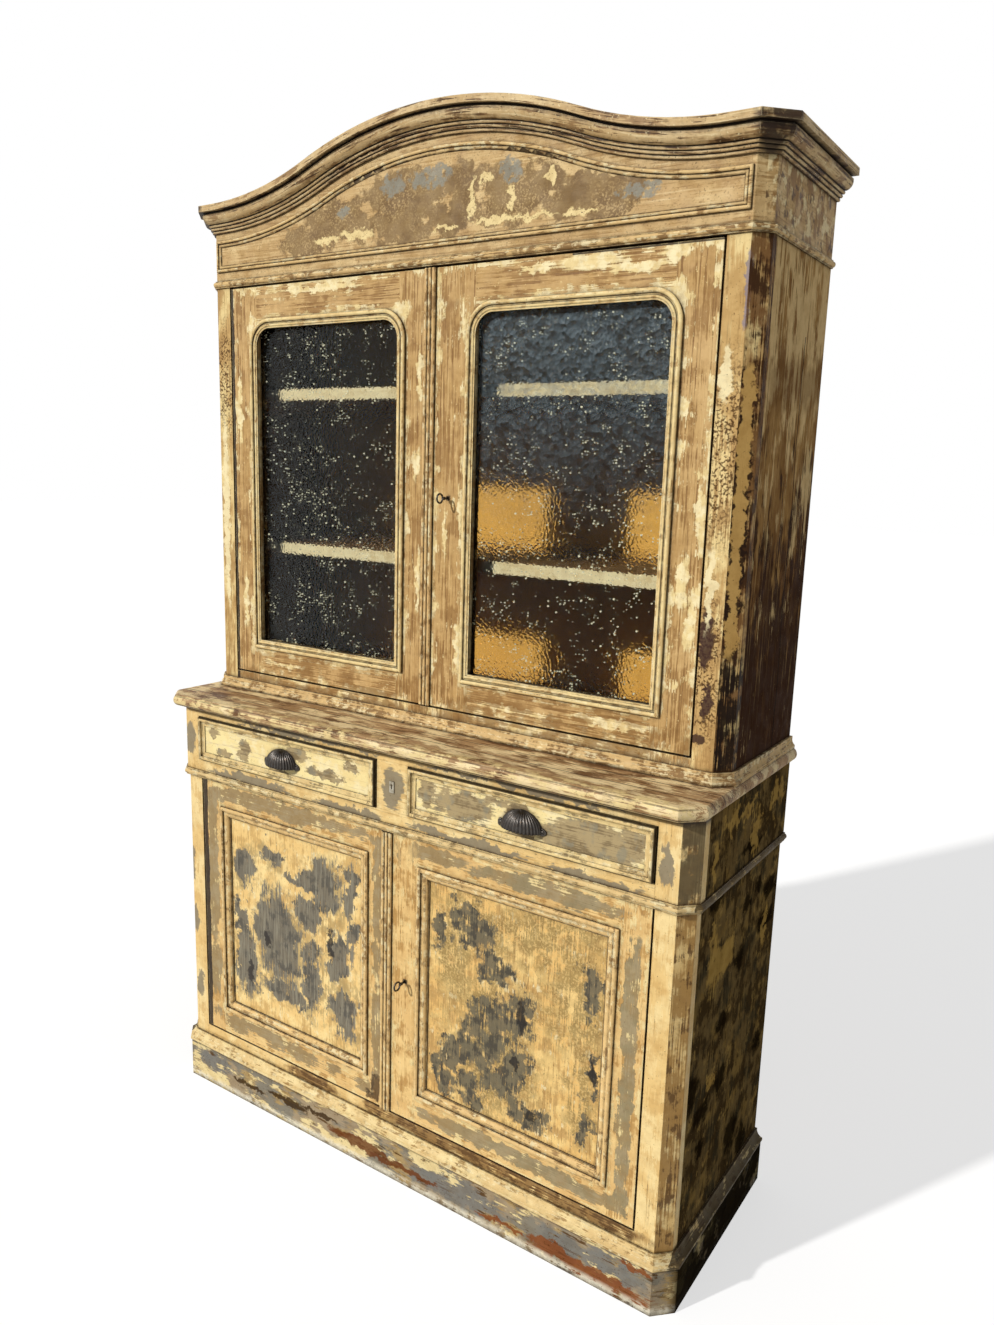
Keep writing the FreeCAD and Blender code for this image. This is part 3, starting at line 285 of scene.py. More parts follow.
    def edge_wear_and_highlight(self, colour, strength=0.7, radius=2.0, cover=0.6):
        """Arrises rubbed back to another coat, in broken runs, which on mouldings and iron are also painted
        highlights. They lie where the softened surface turns away from the true one, so that the cosine
        between the two falls."""
        turn = {0: self.soften(radius), 1: self.add("NewGeometry", out="Normal")}
        same = self.add("VectorMath", turn, "Value", operation="DOT_PRODUCT")
        edge = self.add("MapRange", {"Value": same, "From Min": 0.99, "From Max": 0.88})
        self.coat(colour, strength, 26, cover, where=edge, crisp=0.06, shift=7)

    def gaps(self, joints):
        """Dark open joints between upright planks, at places across in millimetres."""
        half_gap = 1.2
        for joint in joints:
            line = self.add("Math", {0: self.x, 1: joint, 2: half_gap}, operation="COMPARE")
            self.lay(line, "#2a1a0c", 0.85)

    def surface(self, roughness=0.62, gloss=0.25, age=0.25, inside=None):
        """Ends the finish: old satin paint, dulled by age, whose sheen and relief follow the coats.
        Faces turned to the back are plain boards of the inside colour, when one is given."""
        if inside is not None:
            rear = self.add("Math", {0: self.facing[1], 1: 0.5}, operation="GREATER_THAN")
            self.lay(rear, inside)
            self.streaks("#7a5833", 0.3, 0.5, where=rear)
        self.coat("#bfa988", age, 24, 0.4, blend="MULTIPLY", crisp=0.08, shift=17, detail=6)
        # Paint is never quite flat, and its sheen never quite even.
        ripple, unevenness = 0.12, 0.12
        rippled = {0: self.clouds(2.5, detail=2), 1: ripple, 2: self.height}
        height = self.add("Math", rippled, operation="MULTIPLY_ADD")
        relief = {"Strength": 1, "Distance": MM, "Height": height, "Normal": self.soften(1.4)}
        sheen = {
            "Value": self.clouds(30),
            "From Min": 0.3,
            "From Max": 0.7,
            "To Min": roughness - unevenness,
            "To Max": roughness + unevenness,
        }
        paint = {
            "Base Color": self.colour,
            "Roughness": self.add("MapRange", sheen),
            "Specular IOR Level": gloss,
            "Normal": self.add("Bump", relief),
        }
        return self.end(self.add("BsdfPrincipled", paint))

    def end(self, shader):
        """Gives the material its shader."""
        self.add("OutputMaterial", {"Surface": shader})
        return self.material


def colour_prop(name, description, code):
    """A colour that a user may change, from its sRGB hex value."""
    return FloatVectorProperty(
        name=name, description=description, subtype="COLOR", size=4, min=0.0, max=1.0, default=linear(code)
    )


def length_prop(name, description, default):
    """A length that a user may change."""
    return FloatProperty(name=name, description=description, default=default, unit="LENGTH")


class CupboardColours(bpy.types.PropertyGroup):
    """The coats of paint, woods and metals of the cupboard."""

    cream: colour_prop("Cream", "Top coat of cream oil paint", "#efd89c")
    pale_cream: colour_prop("Pale cream", "Cream that light has bleached", "#f8e9ba")
    tan: colour_prop("Tan", "Brown undercoat that shows on the upper doors", "#c09b62")
    # This stain also paints shade where it darkens corners and quirks.
    stain: colour_prop("Dark stain", "Dirt and old varnish in corners", "#432c15")
    ochre: colour_prop("Ochre", "Paint inside the upper case", "#f2bd5c")
    wood: colour_prop("Bare wood", "Unpainted pine inside", "#ad8858")
    shade_brown: colour_prop("Side brown", "Ground colour of the upper sides", "#8c673a")
    shade_olive: colour_prop("Side olive", "Ground colour of the lower sides", "#77633f")
    iron: colour_prop("Iron", "Blackened iron of pulls, screws and keys", "#4b4743")


class CupboardPulls(bpy.types.PropertyGroup):
    """Sizes of the cup pulls and their screws."""

    ribs: IntProperty(
        name="Ribs", description="Ribs that run from the knob down to the rim", default=17, min=5
    )
    rib_depth: FloatProperty(
        name="Rib depth", description="How deep the flutes are, as a share of the cup's radius", default=0.1
    )
    half_width: length_prop("Half width", "From the middle to the cup's side", 45 * MM)
    thickness: length_prop("Thickness", "Thickness of the cast cup", 2.2 * MM)
    rim_height: length_prop("Rim height", "From the ears' lowest point up to the cup's rim", 4 * MM)
    ear_reach: length_prop("Ear reach", "From the middle to the middle of each screw ear", 46 * MM)
    ear_radius: length_prop("Ear radius", "Radius of the screw ears", 8 * MM)
    ear_thickness: length_prop("Ear thickness", "Thickness of the screw ears", 3 * MM)
    knob_radius: length_prop("Knob radius", "Radius of the knob where the ribs meet", 3.6 * MM)
    head_radius: length_prop("Screw head radius", "Radius of the screw heads", 4 * MM)
    head_height: length_prop("Screw head height", "How far the screw heads are domed", 2 * MM)


class CupboardKeys(bpy.types.PropertyGroup):
    """Sizes of the keys."""

    bow_radius: length_prop("Bow radius", "Radius of the ring at its wire's middle", 9 * MM)
    wire_radius: length_prop("Wire radius", "Radius of the ring's wire", 1.9 * MM)
    stem_radius: length_prop("Stem radius", "Radius of the key's stem", 2.3 * MM)


class CupboardStage(bpy.types.PropertyGroup):
    """Light, floor and camera."""

    sun_strength: FloatProperty(name="Sun", description="Strength of the main light", default=3.0, min=0.0)
    sun_angle: FloatProperty(
        name="Sun angle", description="Softness of the main light", subtype="ANGLE",
        default=math.radians(2.0),
    )
    sun_way: FloatVectorProperty(
        name="Sun way", description="Direction in which the light travels", subtype="DIRECTION",
        default=(0.42, 0.80, -0.49),
    )
    fill: FloatProperty(name="Fill", description="Strength of the even light from all round", default=0.25)
    floor_size: length_prop("Floor", "Side of the floor", 60.0)
    lens: FloatProperty(name="Lens", description="Focal length", default=27.07, unit="CAMERA")
    eye: FloatVectorProperty(
        name="Camera place", description="Where the camera stands", subtype="XYZ", unit="LENGTH",
        default=(1.2408, -1.7099, 1.5241),
    )
    turn: FloatVectorProperty(
        name="Camera turn", description="Yaw, pitch and roll of the camera", subtype="EULER",
        default=(math.radians(33.67), math.radians(-11.04), math.radians(1.71)),
    )


def dress(material, *names):
    """Gives CAD nodes their finish."""
    for name in names:
        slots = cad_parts[name].data.materials
        slots.clear()
        slots.append(material)


def sides(pattern):
    """A node name for the left and for the right."""
    return [pattern.format("left"), pattern.format("right")]


def corners(name):
    """The low and high corners of a node's box, in millimetres."""
    low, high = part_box(name)
    return low / MM, high / MM


def span(name, inset=0):
    """From where to where a node on the right reaches across, less an inset at each end."""
    low, high = corners(name)
    return low.x + inset, high.x - inset


def front(name, inset=0):
    """The middle and half sizes of a node's front across and up, less an inset all round."""
    low, high = corners(name)
    middle = (low + high) / 2
    half = (high - low) / 2
    return (middle.x, middle.z), (half.x - inset, half.z - inset)


def seat(name):
    """How far back a moulding is seated."""
    return corners(name)[1].y


def plank_joints(name):
    """Where a wall of equal planks has its joints across."""
    low, high = corners(name)
    plank = (high.x - low.x) / PLANKS
    return [low.x + plank * i for i in range(1, PLANKS)]


def darken_hinge_and_keyhole(f, door, key, edge):
    """Paints shade black along the left door's hinge edge, where the gap lies in shadow, and darkens the
    right door round its keyhole.
    """
    sway = 14
    # Painted shade: a black band along the hinge edge, standing in for the shadowed gap beside it.
    hinge = corners(door)[0].x + edge + sway / 2
    wave = f.add("Math", {0: f.clouds(60), 1: sway, 2: f.x}, operation="MULTIPLY_ADD")
    f.lay(f.add("Math", {0: wave, 1: hinge}, operation="LESS_THAN"), "#20140a", 0.95)
    middle, _ = front(key)
    f.blot("#1f130a", 0.9, [(*middle, 6, 6)], ragged=1.5, size=8)


def finish_upper_doors(tone):
    """Oil paint on pine, rubbed to a brown undercoat: matt tan boards, brush marks along each board,
    and cream left in flakes beside the mouldings and along the arrises."""
    f = Finish("worn_brown_oil_paint", tone.tan)
    f.run(level=span("upper_right_door_glazing_moulding", 18))
    f.coat("#d2af77", 0.8, 170, 0.45, crisp=0.1)
    f.coat("#9c7643", 0.85, 60, 0.4, crisp=0.04, brush=0.8, shift=4)
    f.streaks("#7a5730", 0.2, 0.6)
    f.streaks("#ddbd85", 0.2, 0.5, light=True)
    opening, door = front("upper_right_door_glazing_moulding"), front("upper_right_door_frame")
    near = f.along_edges(opening, door, (0, 24), 0.13, -0.1)
    cream = f.patches(40, 0.22, crisp=0.012, bias=near, brush=0.7, detail=6)
    flakes = f.islands(
        [
            (340, 1882, 62, 16), (497, 1886, 26, 13), (572, 1455, 9, 46), (548, 1340, 10, 50),
            (566, 1262, 10, 46), (-40, 1700, 6, 52), (-46, 1520, 8, 38), (-38, 1290, 6, 64),
            (-560, 1640, 8, 74), (-550, 1200, 7, 64), (-430, 1060, 64, 6), (210, 1056, 90, 6),
            (430, 1064, 90, 9), (-300, 1884, 100, 7), (30, 1390, 5, 44), (64, 1160, 7, 44),
            (430, 1868, 56, 9), (230, 1880, 40, 8),
        ],
        ragged=5, size=24, brush=1.5,
    )
    cream = f.lay(f.either(cream, flakes), tone.cream, 0.97, thick=0.35)
    f.coat(tone.pale_cream, 0.9, 22, 0.5, where=cream, crisp=0.05, shift=9)
    f.specks("#5d4120", 0.7, 0.045)
    f.specks(tone.cream, 0.8, size=5, shift=11)
    low, high = corners("upper_right_door_frame")
    foot = f.zone(z=(low.z + 64, low.z + 28))
    f.coat("#94703f", 0.8, 40, 0.55, where=foot, crisp=0.04, brush=0.9, shift=15)
    darken_hinge_and_keyhole(f, "upper_left_door_frame", "upper_key", 7)
    # Painted shade: the top edge of the right door is black as well, where the gap above it lies in shadow.
    f.lay(f.zone(z=past(high.z - 3.5), x=past(300)), "#20140a", 0.9)
    f.edge_wear_and_highlight(tone.cream, radius=2.2)
    f.dirt_and_shade(tone.stain, 12, 0.9)
    return f.surface(0.6, age=0.3, inside="#8d6b3e")


def finish_moulding(
    tone, name, ground, brown, cover, way=ROUND, reach=8, level=None, foot=None, outer=None, flank=None
):
    """Cream oil paint on run mouldings: pale on the rounds, where the arrises are also painted highlights,
    brown where hands and weather rubbed it along its length, and dirt with painted shade nearly black in
    the quirks. Marks run level within the level span, painted shade also lies behind foot and a painted
    shadow outside the rectangle outer, and runs along the sides take flank's colour, a dark paint that
    also stands in for their shade."""
    f = Finish(name, ground)
    f.run(way, level)
    f.coat("#dcbb80", 0.6, 60, 0.5, crisp=0.08, brush=0.4)
    f.coat(brown, 0.85, 22, cover, thick=-0.2, crisp=0.025, brush=1.2, detail=5, shift=2)
    f.streaks("#7a5930", 0.12)
    f.coat(tone.pale_cream, 0.75, 16, 0.25, crisp=0.03, brush=1, shift=5)
    f.specks("#4a3015", 0.8, 0.04, 3.5)
    # The pale arrises are worn paint and also painted highlights on the rounds.
    f.edge_wear_and_highlight(tone.pale_cream, 0.65, radius=1.2, cover=0.7)
    # Along the sides the flank colour is a dark paint that also stands in for their shade.
    if flank is not None:
        beside = f.zone(across=past(corners("lower_posts")[1].x - 4))
        f.coat(flank, 0.9, 40, 0.8, where=beside, crisp=0.05, brush=0.6, shift=19)
    f.dirt_and_shade("#2a190a", reach, 0.97, low=0.55, high=0.97)
    # Painted shade: near black where the moulding meets the board, behind foot.
    if foot is not None:
        deep = f.zone(y=(foot - 1, foot + 0.6))
        f.coat("#2a190a", 0.92, 30, 0.85, where=deep, crisp=0.1, shift=13)
    # Painted shadow: a dark line just outside the moulding's outer edge, in the gap beside it.
    if outer is not None:
        ends = {"Value": f.rim(outer), "From Min": -0.6, "From Max": 0.6}
        f.lay(f.add("MapRange", ends), "#1c1209", 0.92)
    return f.surface(0.56, gloss=0.12, age=0.15)


def finish_frieze(tone):
    """Oil paint that has crazed: a tan border, and a grey-brown middle broken up by fine crackle and
    by cream flakes."""
    f = Finish("crazed_frieze_paint", "#caa974")
    f.run(ROUND)
    f.coat("#e2c690", 0.75, 110, 0.45, crisp=0.07)
    f.coat("#b8955f", 0.8, 36, 0.34, crisp=0.04, brush=0.9, shift=2)
    f.streaks("#8d6b3e", 0.16, 0.5)
    f.streaks("#e9d2a0", 0.14, 0.5, light=True)
    bitten = f.patches(40, 0.84, detail=6, shift=12)
    middle = f.blot(
        "#8d734a", 0.95,
        [
            (-250, 2010, 112, 45), (-90, 2036, 112, 50), (60, 2022, 92, 56), (200, 2022, 92, 48),
            (330, 1992, 112, 36), (-360, 1982, 70, 26), (-60, 1985, 120, 30), (140, 1990, 80, 34),
        ],
        where=bitten, thick=-0.3, ragged=12, size=46, soft=0.06,
    )
    f.coat("#7b613c", 0.85, 44, 0.4, where=middle, crisp=0.05, shift=8)
    # Real crackle is hair-fine, so it is drawn 4 mm coarse to show at all.
    crazing = f.both(middle, f.patches(4, 0.3, crisp=0.03, detail=2, shift=1))
    f.coat("#cdaf7a", 0.65, 60, 0.5, where=crazing, crisp=0.1, shift=6)
    grey = f.islands(
        [
            (-20, 2066, 46, 20), (-112, 2062, 32, 18), (162, 2054, 22, 22), (-240, 2026, 22, 10),
            (420, 1992, 40, 9),
        ],
        ragged=7, size=26,
    )
    f.coat("#8c8b7f", 0.85, 16, 0.75, where=grey, crisp=0.04, shift=14)
    f.blot(
        tone.cream, 0.95,
        [
            (78, 2016, 8, 40), (130, 1972, 44, 7), (215, 1970, 46, 6), (252, 2036, 10, 16),
            (110, 2046, 16, 8), (-205, 1980, 46, 10), (-292, 1975, 34, 9), (20, 1972, 30, 6),
            (310, 1968, 34, 6), (165, 2010, 8, 20),
        ],
        thick=0.3, ragged=6, size=20,
    )
    flank = f.zone(across=past(corners("frieze_boards")[1].x - 13))
    f.coat("#8f6a3a", 0.9, 34, 0.42, where=flank, crisp=0.03, stretch=(1, 1, 1.6), shift=25)
    f.coat("#452b14", 0.85, 26, 0.2, where=flank, crisp=0.03, shift=29)
    f.coat("#f8e6b4", 0.85, 30, 0.28, where=flank, crisp=0.03, shift=33)
    f.specks("#8a6b40", 0.55, 0.14, 3.5)
    f.specks("#4d3519", 0.7, shift=19)
    f.edge_wear_and_highlight(tone.cream, 0.6)
    f.dirt_and_shade("#3a2511", 12)
    return f.surface()


def finish_cornice(tone):
    """Oil paint on a swept cornice: tan on the swells, brown and black streaks and patches that follow the
    arch, dirt and painted shade dark in the hollows, and end pieces painted near black as shade."""
    f = Finish("weathered_cornice_paint", "#cdaf7d")
    arch_reach, arch_rise = 600, 113
    lift = f.both(f.across, math.pi / arch_reach)
    lift = f.add("Math", {0: lift, 1: math.pi}, operation="MINIMUM")
    lift = f.add("Math", {0: lift}, operation="COSINE")
    drop = f.add("Math", {0: lift, 1: -arch_rise / 2, 2: f.z}, operation="MULTIPLY_ADD")
    along = f.add("CombineXYZ", {0: f.x, 1: f.y, 2: drop})
    f.run((26, 26, 1), width=5, at=along)
    f.coat("#e0c798", 0.8, 70, 0.45, crisp=0.06, stretch=(2, 2, 0.4), at=along)
    f.coat("#96744a", 0.85, 26, 0.36, crisp=0.03, brush=1.2, stretch=(2, 2, 1), at=along, shift=3)
    f.coat("#5d4123", 0.85, 20, 0.2, crisp=0.03, brush=1.2, stretch=(2, 2, 1), at=along, shift=6)
    f.streaks("#3d2612", 0.17, 0.75)
    f.streaks("#f0dcac", 0.16, 0.7, light=True)
    f.specks("#3a2411", 0.8, 0.07, 4.5)
    f.specks(tone.pale_cream, 0.8, 0.08, 5, shift=9)
    low, high = corners("frieze_boards")
    # Painted shade: the end pieces at the corners near black.
    end = f.zone(across=(high.x - 25, high.x - 13), y=(low.y + 24, low.y + 12))
    f.coat("#2d1c0e", 0.93, 30, 0.85, where=end, crisp=0.06, shift=5)
    f.edge_wear_and_highlight("#ecd9ae", 0.8, cover=0.7)
    f.dirt_and_shade("#22140a", 16, 0.97, low=0.55, high=0.98)
    return f.surface()


def finish_upper_posts(tone):
    """Thick cream oil paint over dark varnish: curdled and specked on the right post, and on its
    chamfer only a scalloped strip of cream is left on near-black wood."""
    f = Finish("curdled_cream_post_paint", "#cba86e")
    f.run()
    f.coat(tone.cream, 0.85, 60, 0.5, crisp=0.04, brush=0.5, stretch=(1, 1, 2))
    f.coat("#b38f5b", 0.85, 36, 0.32, crisp=0.03, brush=0.8, stretch=(1, 1, 2), shift=3)
    f.streaks("#8a683b", 0.16, 0.5)
    curds = f.islands([(608, 1560, 30, 150), (604, 1200, 26, 130), (-606, 1700, 26, 120)], soft=0.3)
    f.coat("#4d3217", 0.9, 5, 0.4, where=curds, crisp=0.03, detail=3)
    stains = [(597, 1245, 13, 54), (606, 1130, 9, 36), (594, 1065, 12, 14)]
    f.blot("#3f2a26", 0.92, stains, ragged=5, size=20)
    f.blot("#8b8290", 0.8, [(626, 1820, 5, 66)], ragged=3, size=20)
    bleached = [(600, 1690, 12, 44), (598, 1330, 9, 70), (-612, 1400, 10, 220)]
    f.blot(tone.pale_cream, 0.85, bleached, ragged=6, size=24)
    # The chamfer and outer face of the right post face more than 0.4 to the right.
    chamfer = f.add("Math", {0: f.facing[0], 1: 0.7, 2: 0.3}, operation="COMPARE")
    f.coat("#7d5833", 0.92, 50, 0.7, where=chamfer, crisp=0.05, brush=0.6, shift=8)
    f.coat("#3a2210", 0.92, 34, 0.45, where=chamfer, crisp=0.04, brush=0.8, shift=5)
    f.blot("#22130a", 0.9, [(636, 1440, 13, 250)], where=chamfer, ragged=5, size=22, soft=0.1)
    scallops = ((1262, 8, 52), (1350, 8, 60), (1450, 9, 70), (1560, 9, 80), (1645, 8, 56))
    strip = [(637, *scallop) for scallop in scallops]
    f.blot("#cda561", 0.95, strip, where=chamfer, ragged=3.2, size=16, soft=0.1)
    post_foot = corners("upper_posts")[0].z
    foot = f.both(chamfer, f.zone(z=(post_foot + 239, post_foot + 209)))
    f.coat("#1a1009", 0.95, 30, 0.72, where=foot, crisp=0.05, brush=0.9, shift=16)
    f.specks("#5b3f20", 0.8, size=3.5)
    f.edge_wear_and_highlight("#5f4122", 0.6, cover=0.5)
    f.dirt_and_shade(tone.stain, 12)
    return f.surface(0.66, gloss=0.1)


def finish_upper_sides(tone):
    """Plank sides in thin brown paint and old varnish, streaked down the grain, darker towards the
    foot, with one long open shake; the inner face is dark ochre."""
    f = Finish("streaked_brown_side_paint", tone.shade_brown)
    f.run((1, 1, 40), width=5)
    f.coat("#b38c55", 0.9, 130, 0.5, crisp=0.06, brush=0.3, stretch=(1, 1, 1.4))
    fade_top, fade_foot = 1760, 1150
    ends = {"From Min": fade_top, "From Max": fade_foot, "To Min": -0.16, "To Max": 0.17}
    low = f.add("MapRange", {"Value": f.z, **ends})
    f.coat("#75522d", 0.9, 60, 0.42, crisp=0.03, brush=0.5, stretch=(1, 1, 2), bias=low, shift=3)
    f.coat("#311c0c", 0.93, 44, 0.34, crisp=0.025, brush=0.6, stretch=(1, 1, 2.5), bias=low, shift=6)
    f.streaks("#38200e", 0.2, 0.6)
    f.streaks("#d6b47c", 0.16, 0.5, light=True)
    f.coat("#351d0d", 0.8, 90, 0.3, crisp=0.03, brush=0.3, stretch=(1, 1, 2), bias=low, shift=21)
    high = f.both(low, -0.8)
    f.coat("#f3d59c", 0.8, 50, 0.24, brush=0.8, stretch=(1, 1, 2.2), bias=high, shift=9)
    f.blot("#6e4c26", 0.5, [(190, 1690, 120, 42), (40, 1680, 90, 36)], ragged=12, axes=(1, 2), soft=0.4)
    shake_place, shake_sway, shake_top, half_shake = 152, 30, 1770, 1.8
    swayed = {0: f.clouds(120, detail=2), 1: shake_sway, 2: f.y}
    shake = f.add("Math", swayed, operation="MULTIPLY_ADD")
    shake = f.add("Math", {0: shake, 1: shake_place, 2: half_shake}, operation="COMPARE")
    f.lay(shake, "#150b05", 0.95, where=f.zone(z=short_of(shake_top)))
    f.specks("#c9a872", 0.6, 0.03, shift=13)
    f.lay(f.zone(across=short_of(corners("upper_back")[1].x + 3)), "#4d3619")
    f.dirt_and_shade("#23140a", 20, 0.7)
    return f.surface(0.76, gloss=0.03)


def finish_counter(tone):
    """Counter planks: paint scrubbed down to brown pine along the grain, cream left in streaks and
    along the front edge, dark open joints between planks."""
    f = Finish("scrubbed_counter_planks", "#b39066")
    f.run(LEVEL)
    f.coat("#9c7a50", 0.85, 80, 0.45, crisp=0.05, brush=0.4, stretch=(1.6, 1, 1))
    f.coat("#603e1e", 0.93, 44, 0.34, crisp=0.025, brush=0.7, stretch=(2.6, 1, 1), shift=4)
    f.coat("#f6e0ae", 0.94, 38, 0.42, brush=0.7, stretch=(2.6, 1, 1), shift=8)
    f.coat("#5b3b20", 0.9, 20, 0.1, brush=0.9, stretch=(1.8, 1, 1), shift=12)
    f.streaks("#5f4022", 0.14)
    f.streaks("#ead2a2", 0.12, light=True)
    low, high = corners("counter_edge")
    nose = f.zone(y=(low.y + 36, low.y + 18))
    f.coat(tone.cream, 0.9, 26, 0.42, where=nose, crisp=0.025, brush=0.9, shift=2)
    half_quirk, half_joint = 1.3, 1.4
    # Painted shade: dark lines in the quirks along the foot and top of the nose.
    for quirk, strength in ((low.z + 3.5, 0.85), (high.z - 3.5, 0.6)):
        line = f.add("Math", {0: f.z, 1: quirk, 2: half_quirk}, operation="COMPARE")
        f.coat("#2a190c", strength, 40, 0.8, where=f.both(line, nose), crisp=0.1, shift=17)
    for joint in (low.y + 64, low.y + 111):
        line = f.add("Math", {0: f.y, 1: joint, 2: half_joint}, operation="COMPARE")
        f.lay(line, "#2a190c", 0.9)
    f.specks("#43290f", 0.7)
    f.specks("#efdcb0", 0.7, shift=12)
    f.edge_wear_and_highlight("#ecd7a6", 0.6, radius=2.5)
    f.dirt_and_shade(tone.stain, 12, 0.9)
    return f.surface(0.58)


def finish_drawers(tone):
    """Drawer fronts in cream oil paint with a grey-brown coat showing through in ragged pools."""
    f = Finish("cream_and_taupe_drawer_paint", "#f8e5a6")
    f.run(LEVEL)
    f.coat("#ecd292", 0.7, 80, 0.45, crisp=0.08)
    f.coat(tone.pale_cream, 0.75, 30, 0.35, crisp=0.04, brush=0.6, shift=3)
    f.streaks("#b3915a", 0.14, 0.4)
    pools = f.blot(
        "#aa966f", 0.96,
        [
            (-432, 880, 20, 28), (-270, 902, 36, 15), (-185, 872, 58, 11), (-500, 860, 30, 8),
            (-330, 854, 34, 7), (-110, 905, 18, 12), (-532, 905, 22, 10), (178, 884, 72, 30),
            (462, 878, 116, 33), (330, 850, 46, 11), (90, 890, 20, 26), (250, 910, 30, 10),
            (545, 905, 28, 14), (300, 898, 28, 20),
        ],
        thick=-0.3, ragged=7, size=30, soft=0.06, brush=1.2,
    )
    f.coat("#7c6a4b", 0.85, 40, 0.4, where=pools, crisp=0.06, brush=0.8, shift=5)
    f.coat("#8d8874", 0.7, 30, 0.25, where=pools, crisp=0.05, shift=9)
    f.specks("#54421f")
    f.edge_wear_and_highlight("#6f5a35", 0.5, cover=0.4)
    f.dirt_and_shade("#33210e", 10, 0.9)
    return f.surface(0.58, age=0.05, inside=tone.wood)


def finish_lower_frames(tone):
    """Lower door frames: peach undercoat and cream along the edges, grey-brown and blue-grey coats
    left in long pools down the middle of each stile and rail."""
    f = Finish("peach_and_grey_door_paint", "#e2bc7c")
    f.run(level=span("lower_right_door_moulding"))
    f.coat("#f0cf8e", 0.85, 80, 0.45, crisp=0.06, brush=0.4)
    f.coat("#b98e50", 0.85, 36, 0.34, crisp=0.04, brush=0.8, shift=3)
    f.streaks("#997242", 0.16, 0.5)
    f.streaks("#f3dca4", 0.14, 0.5, light=True)
    opening, door = front("lower_right_door_moulding"), front("lower_right_door_frame")
    centre = f.along_edges(opening, door, (2, 20), -0.22, 0.05)
    pools = f.patches(60, 0.42, crisp=0.012, bias=centre, brush=0.4, detail=6, shift=4)
    placed = f.islands(
        [
            (-340, 762, 225, 18), (-553, 560, 17, 190), (-44, 630, 12, 92), (-44, 330, 12, 86),
            (-385, 192, 145, 14), (100, 762, 88, 15), (360, 761, 145, 18), (557, 430, 9, 190),
            (310, 182, 210, 16), (-560, 300, 12, 60),
        ],
        ragged=5, size=34, soft=0.06, brush=0.8,
    )
    clean = f.islands([(34, 470, 36, 335), (560, 745, 26, 28), (-20, 160, 30, 24)], ragged=6)
    kept = {0: f.either(pools, placed), 1: clean}
    pools = f.add("Math", kept, operation="SUBTRACT", use_clamp=True)
    f.lay(pools, "#9a845c", 0.95, thick=-0.3)
    east = f.both(pools, f.zone(x=(120, 260)))
    f.coat("#8f8668", 0.65, 60, 0.6, where=east, crisp=0.06, shift=18)
    f.coat("#a99876", 0.7, 34, 0.4, where=pools, crisp=0.05, brush=0.8, shift=7)
    near = f.along_edges(opening, door, (0, 14), 0.14, 0)
    f.coat("#f1dba0", 0.92, 28, 0.15, thick=0.25, crisp=0.012, bias=near, brush=0.8, detail=6, shift=9)
    f.blot("#3d2813", 0.85, [(-40, 190, 14, 26), (-50, 165, 20, 10)], ragged=6, size=20)
    f.specks("#5a3f1c")
    darken_hinge_and_keyhole(f, "lower_left_door_frame", "lower_key", 14)
    f.edge_wear_and_highlight("#f3e0ad", 0.6, radius=2.2)
    f.dirt_and_shade("#33200d", 12, 0.9)
    return f.surface(0.58, age=0.2, inside=tone.wood)


def finish_left_panel(tone):
    """Left lower panel: peach paint with blue-grey worn through in pools, brushed downwards, and a
    few black strokes."""
    f = Finish("peach_and_blue_grey_panel_paint", "#f0cc86")
    f.run((1, 1, 20))
    f.coat("#fadf9e", 0.85, 70, 0.5, crisp=0.06, brush=0.4)
    f.coat("#cfa968", 0.85, 36, 0.32, crisp=0.05, brush=0.7, shift=3)
    f.streaks("#a9834e", 0.16, 0.5)
    f.coat(tone.pale_cream, 0.8, 22, 0.12, brush=0.6, shift=12)
    smudge = f.islands(
        [
            (-345, 450, 82, 130), (-190, 590, 66, 96), (-450, 590, 46, 60), (-365, 640, 46, 34),
            (-448, 345, 44, 104), (-225, 370, 50, 110), (-145, 340, 50, 90), (-330, 320, 80, 40),
        ],
        ragged=18, size=46, soft=0.3, brush=1,
    )
    f.coat("#a58f60", 0.7, 26, 0.5, where=smudge, crisp=0.04, brush=0.9, shift=6)
    pools = f.blot(
        "#69655b", 0.93,
        [
            (-345, 450, 64, 104), (-200, 605, 44, 66), (-245, 530, 34, 34), (-268, 604, 42, 19),
            (-450, 588, 34, 40), (-365, 640, 34, 22), (-120, 615, 24, 70), (-448, 345, 33, 84),
            (-245, 375, 30, 90), (-145, 322, 40, 54), (-155, 450, 40, 46), (-350, 322, 50, 24),
            (-470, 450, 20, 56), (-290, 300, 30, 20), (-405, 470, 26, 50), (-120, 520, 18, 36),
        ],
        thick=-0.25, ragged=15, size=44, soft=0.05, brush=1.8,
    )
    f.streaks("#8f8a79", 0.3, 0.7, light=True, where=pools)
    f.coat("#504d46", 0.8, 30, 0.34, where=pools, crisp=0.05, brush=0.7, shift=8)
    strokes = [(-182, 482, 7, 30), (-380, 430, 8, 24), (-440, 335, 9, 28)]
    f.blot("#2b2623", 0.9, strokes, ragged=5, size=18, brush=1)
    f.specks("#6a5430", 0.6)
    f.dirt_and_shade("#33200d", 10)
    return f.surface(0.6, age=0.08, inside=tone.wood)


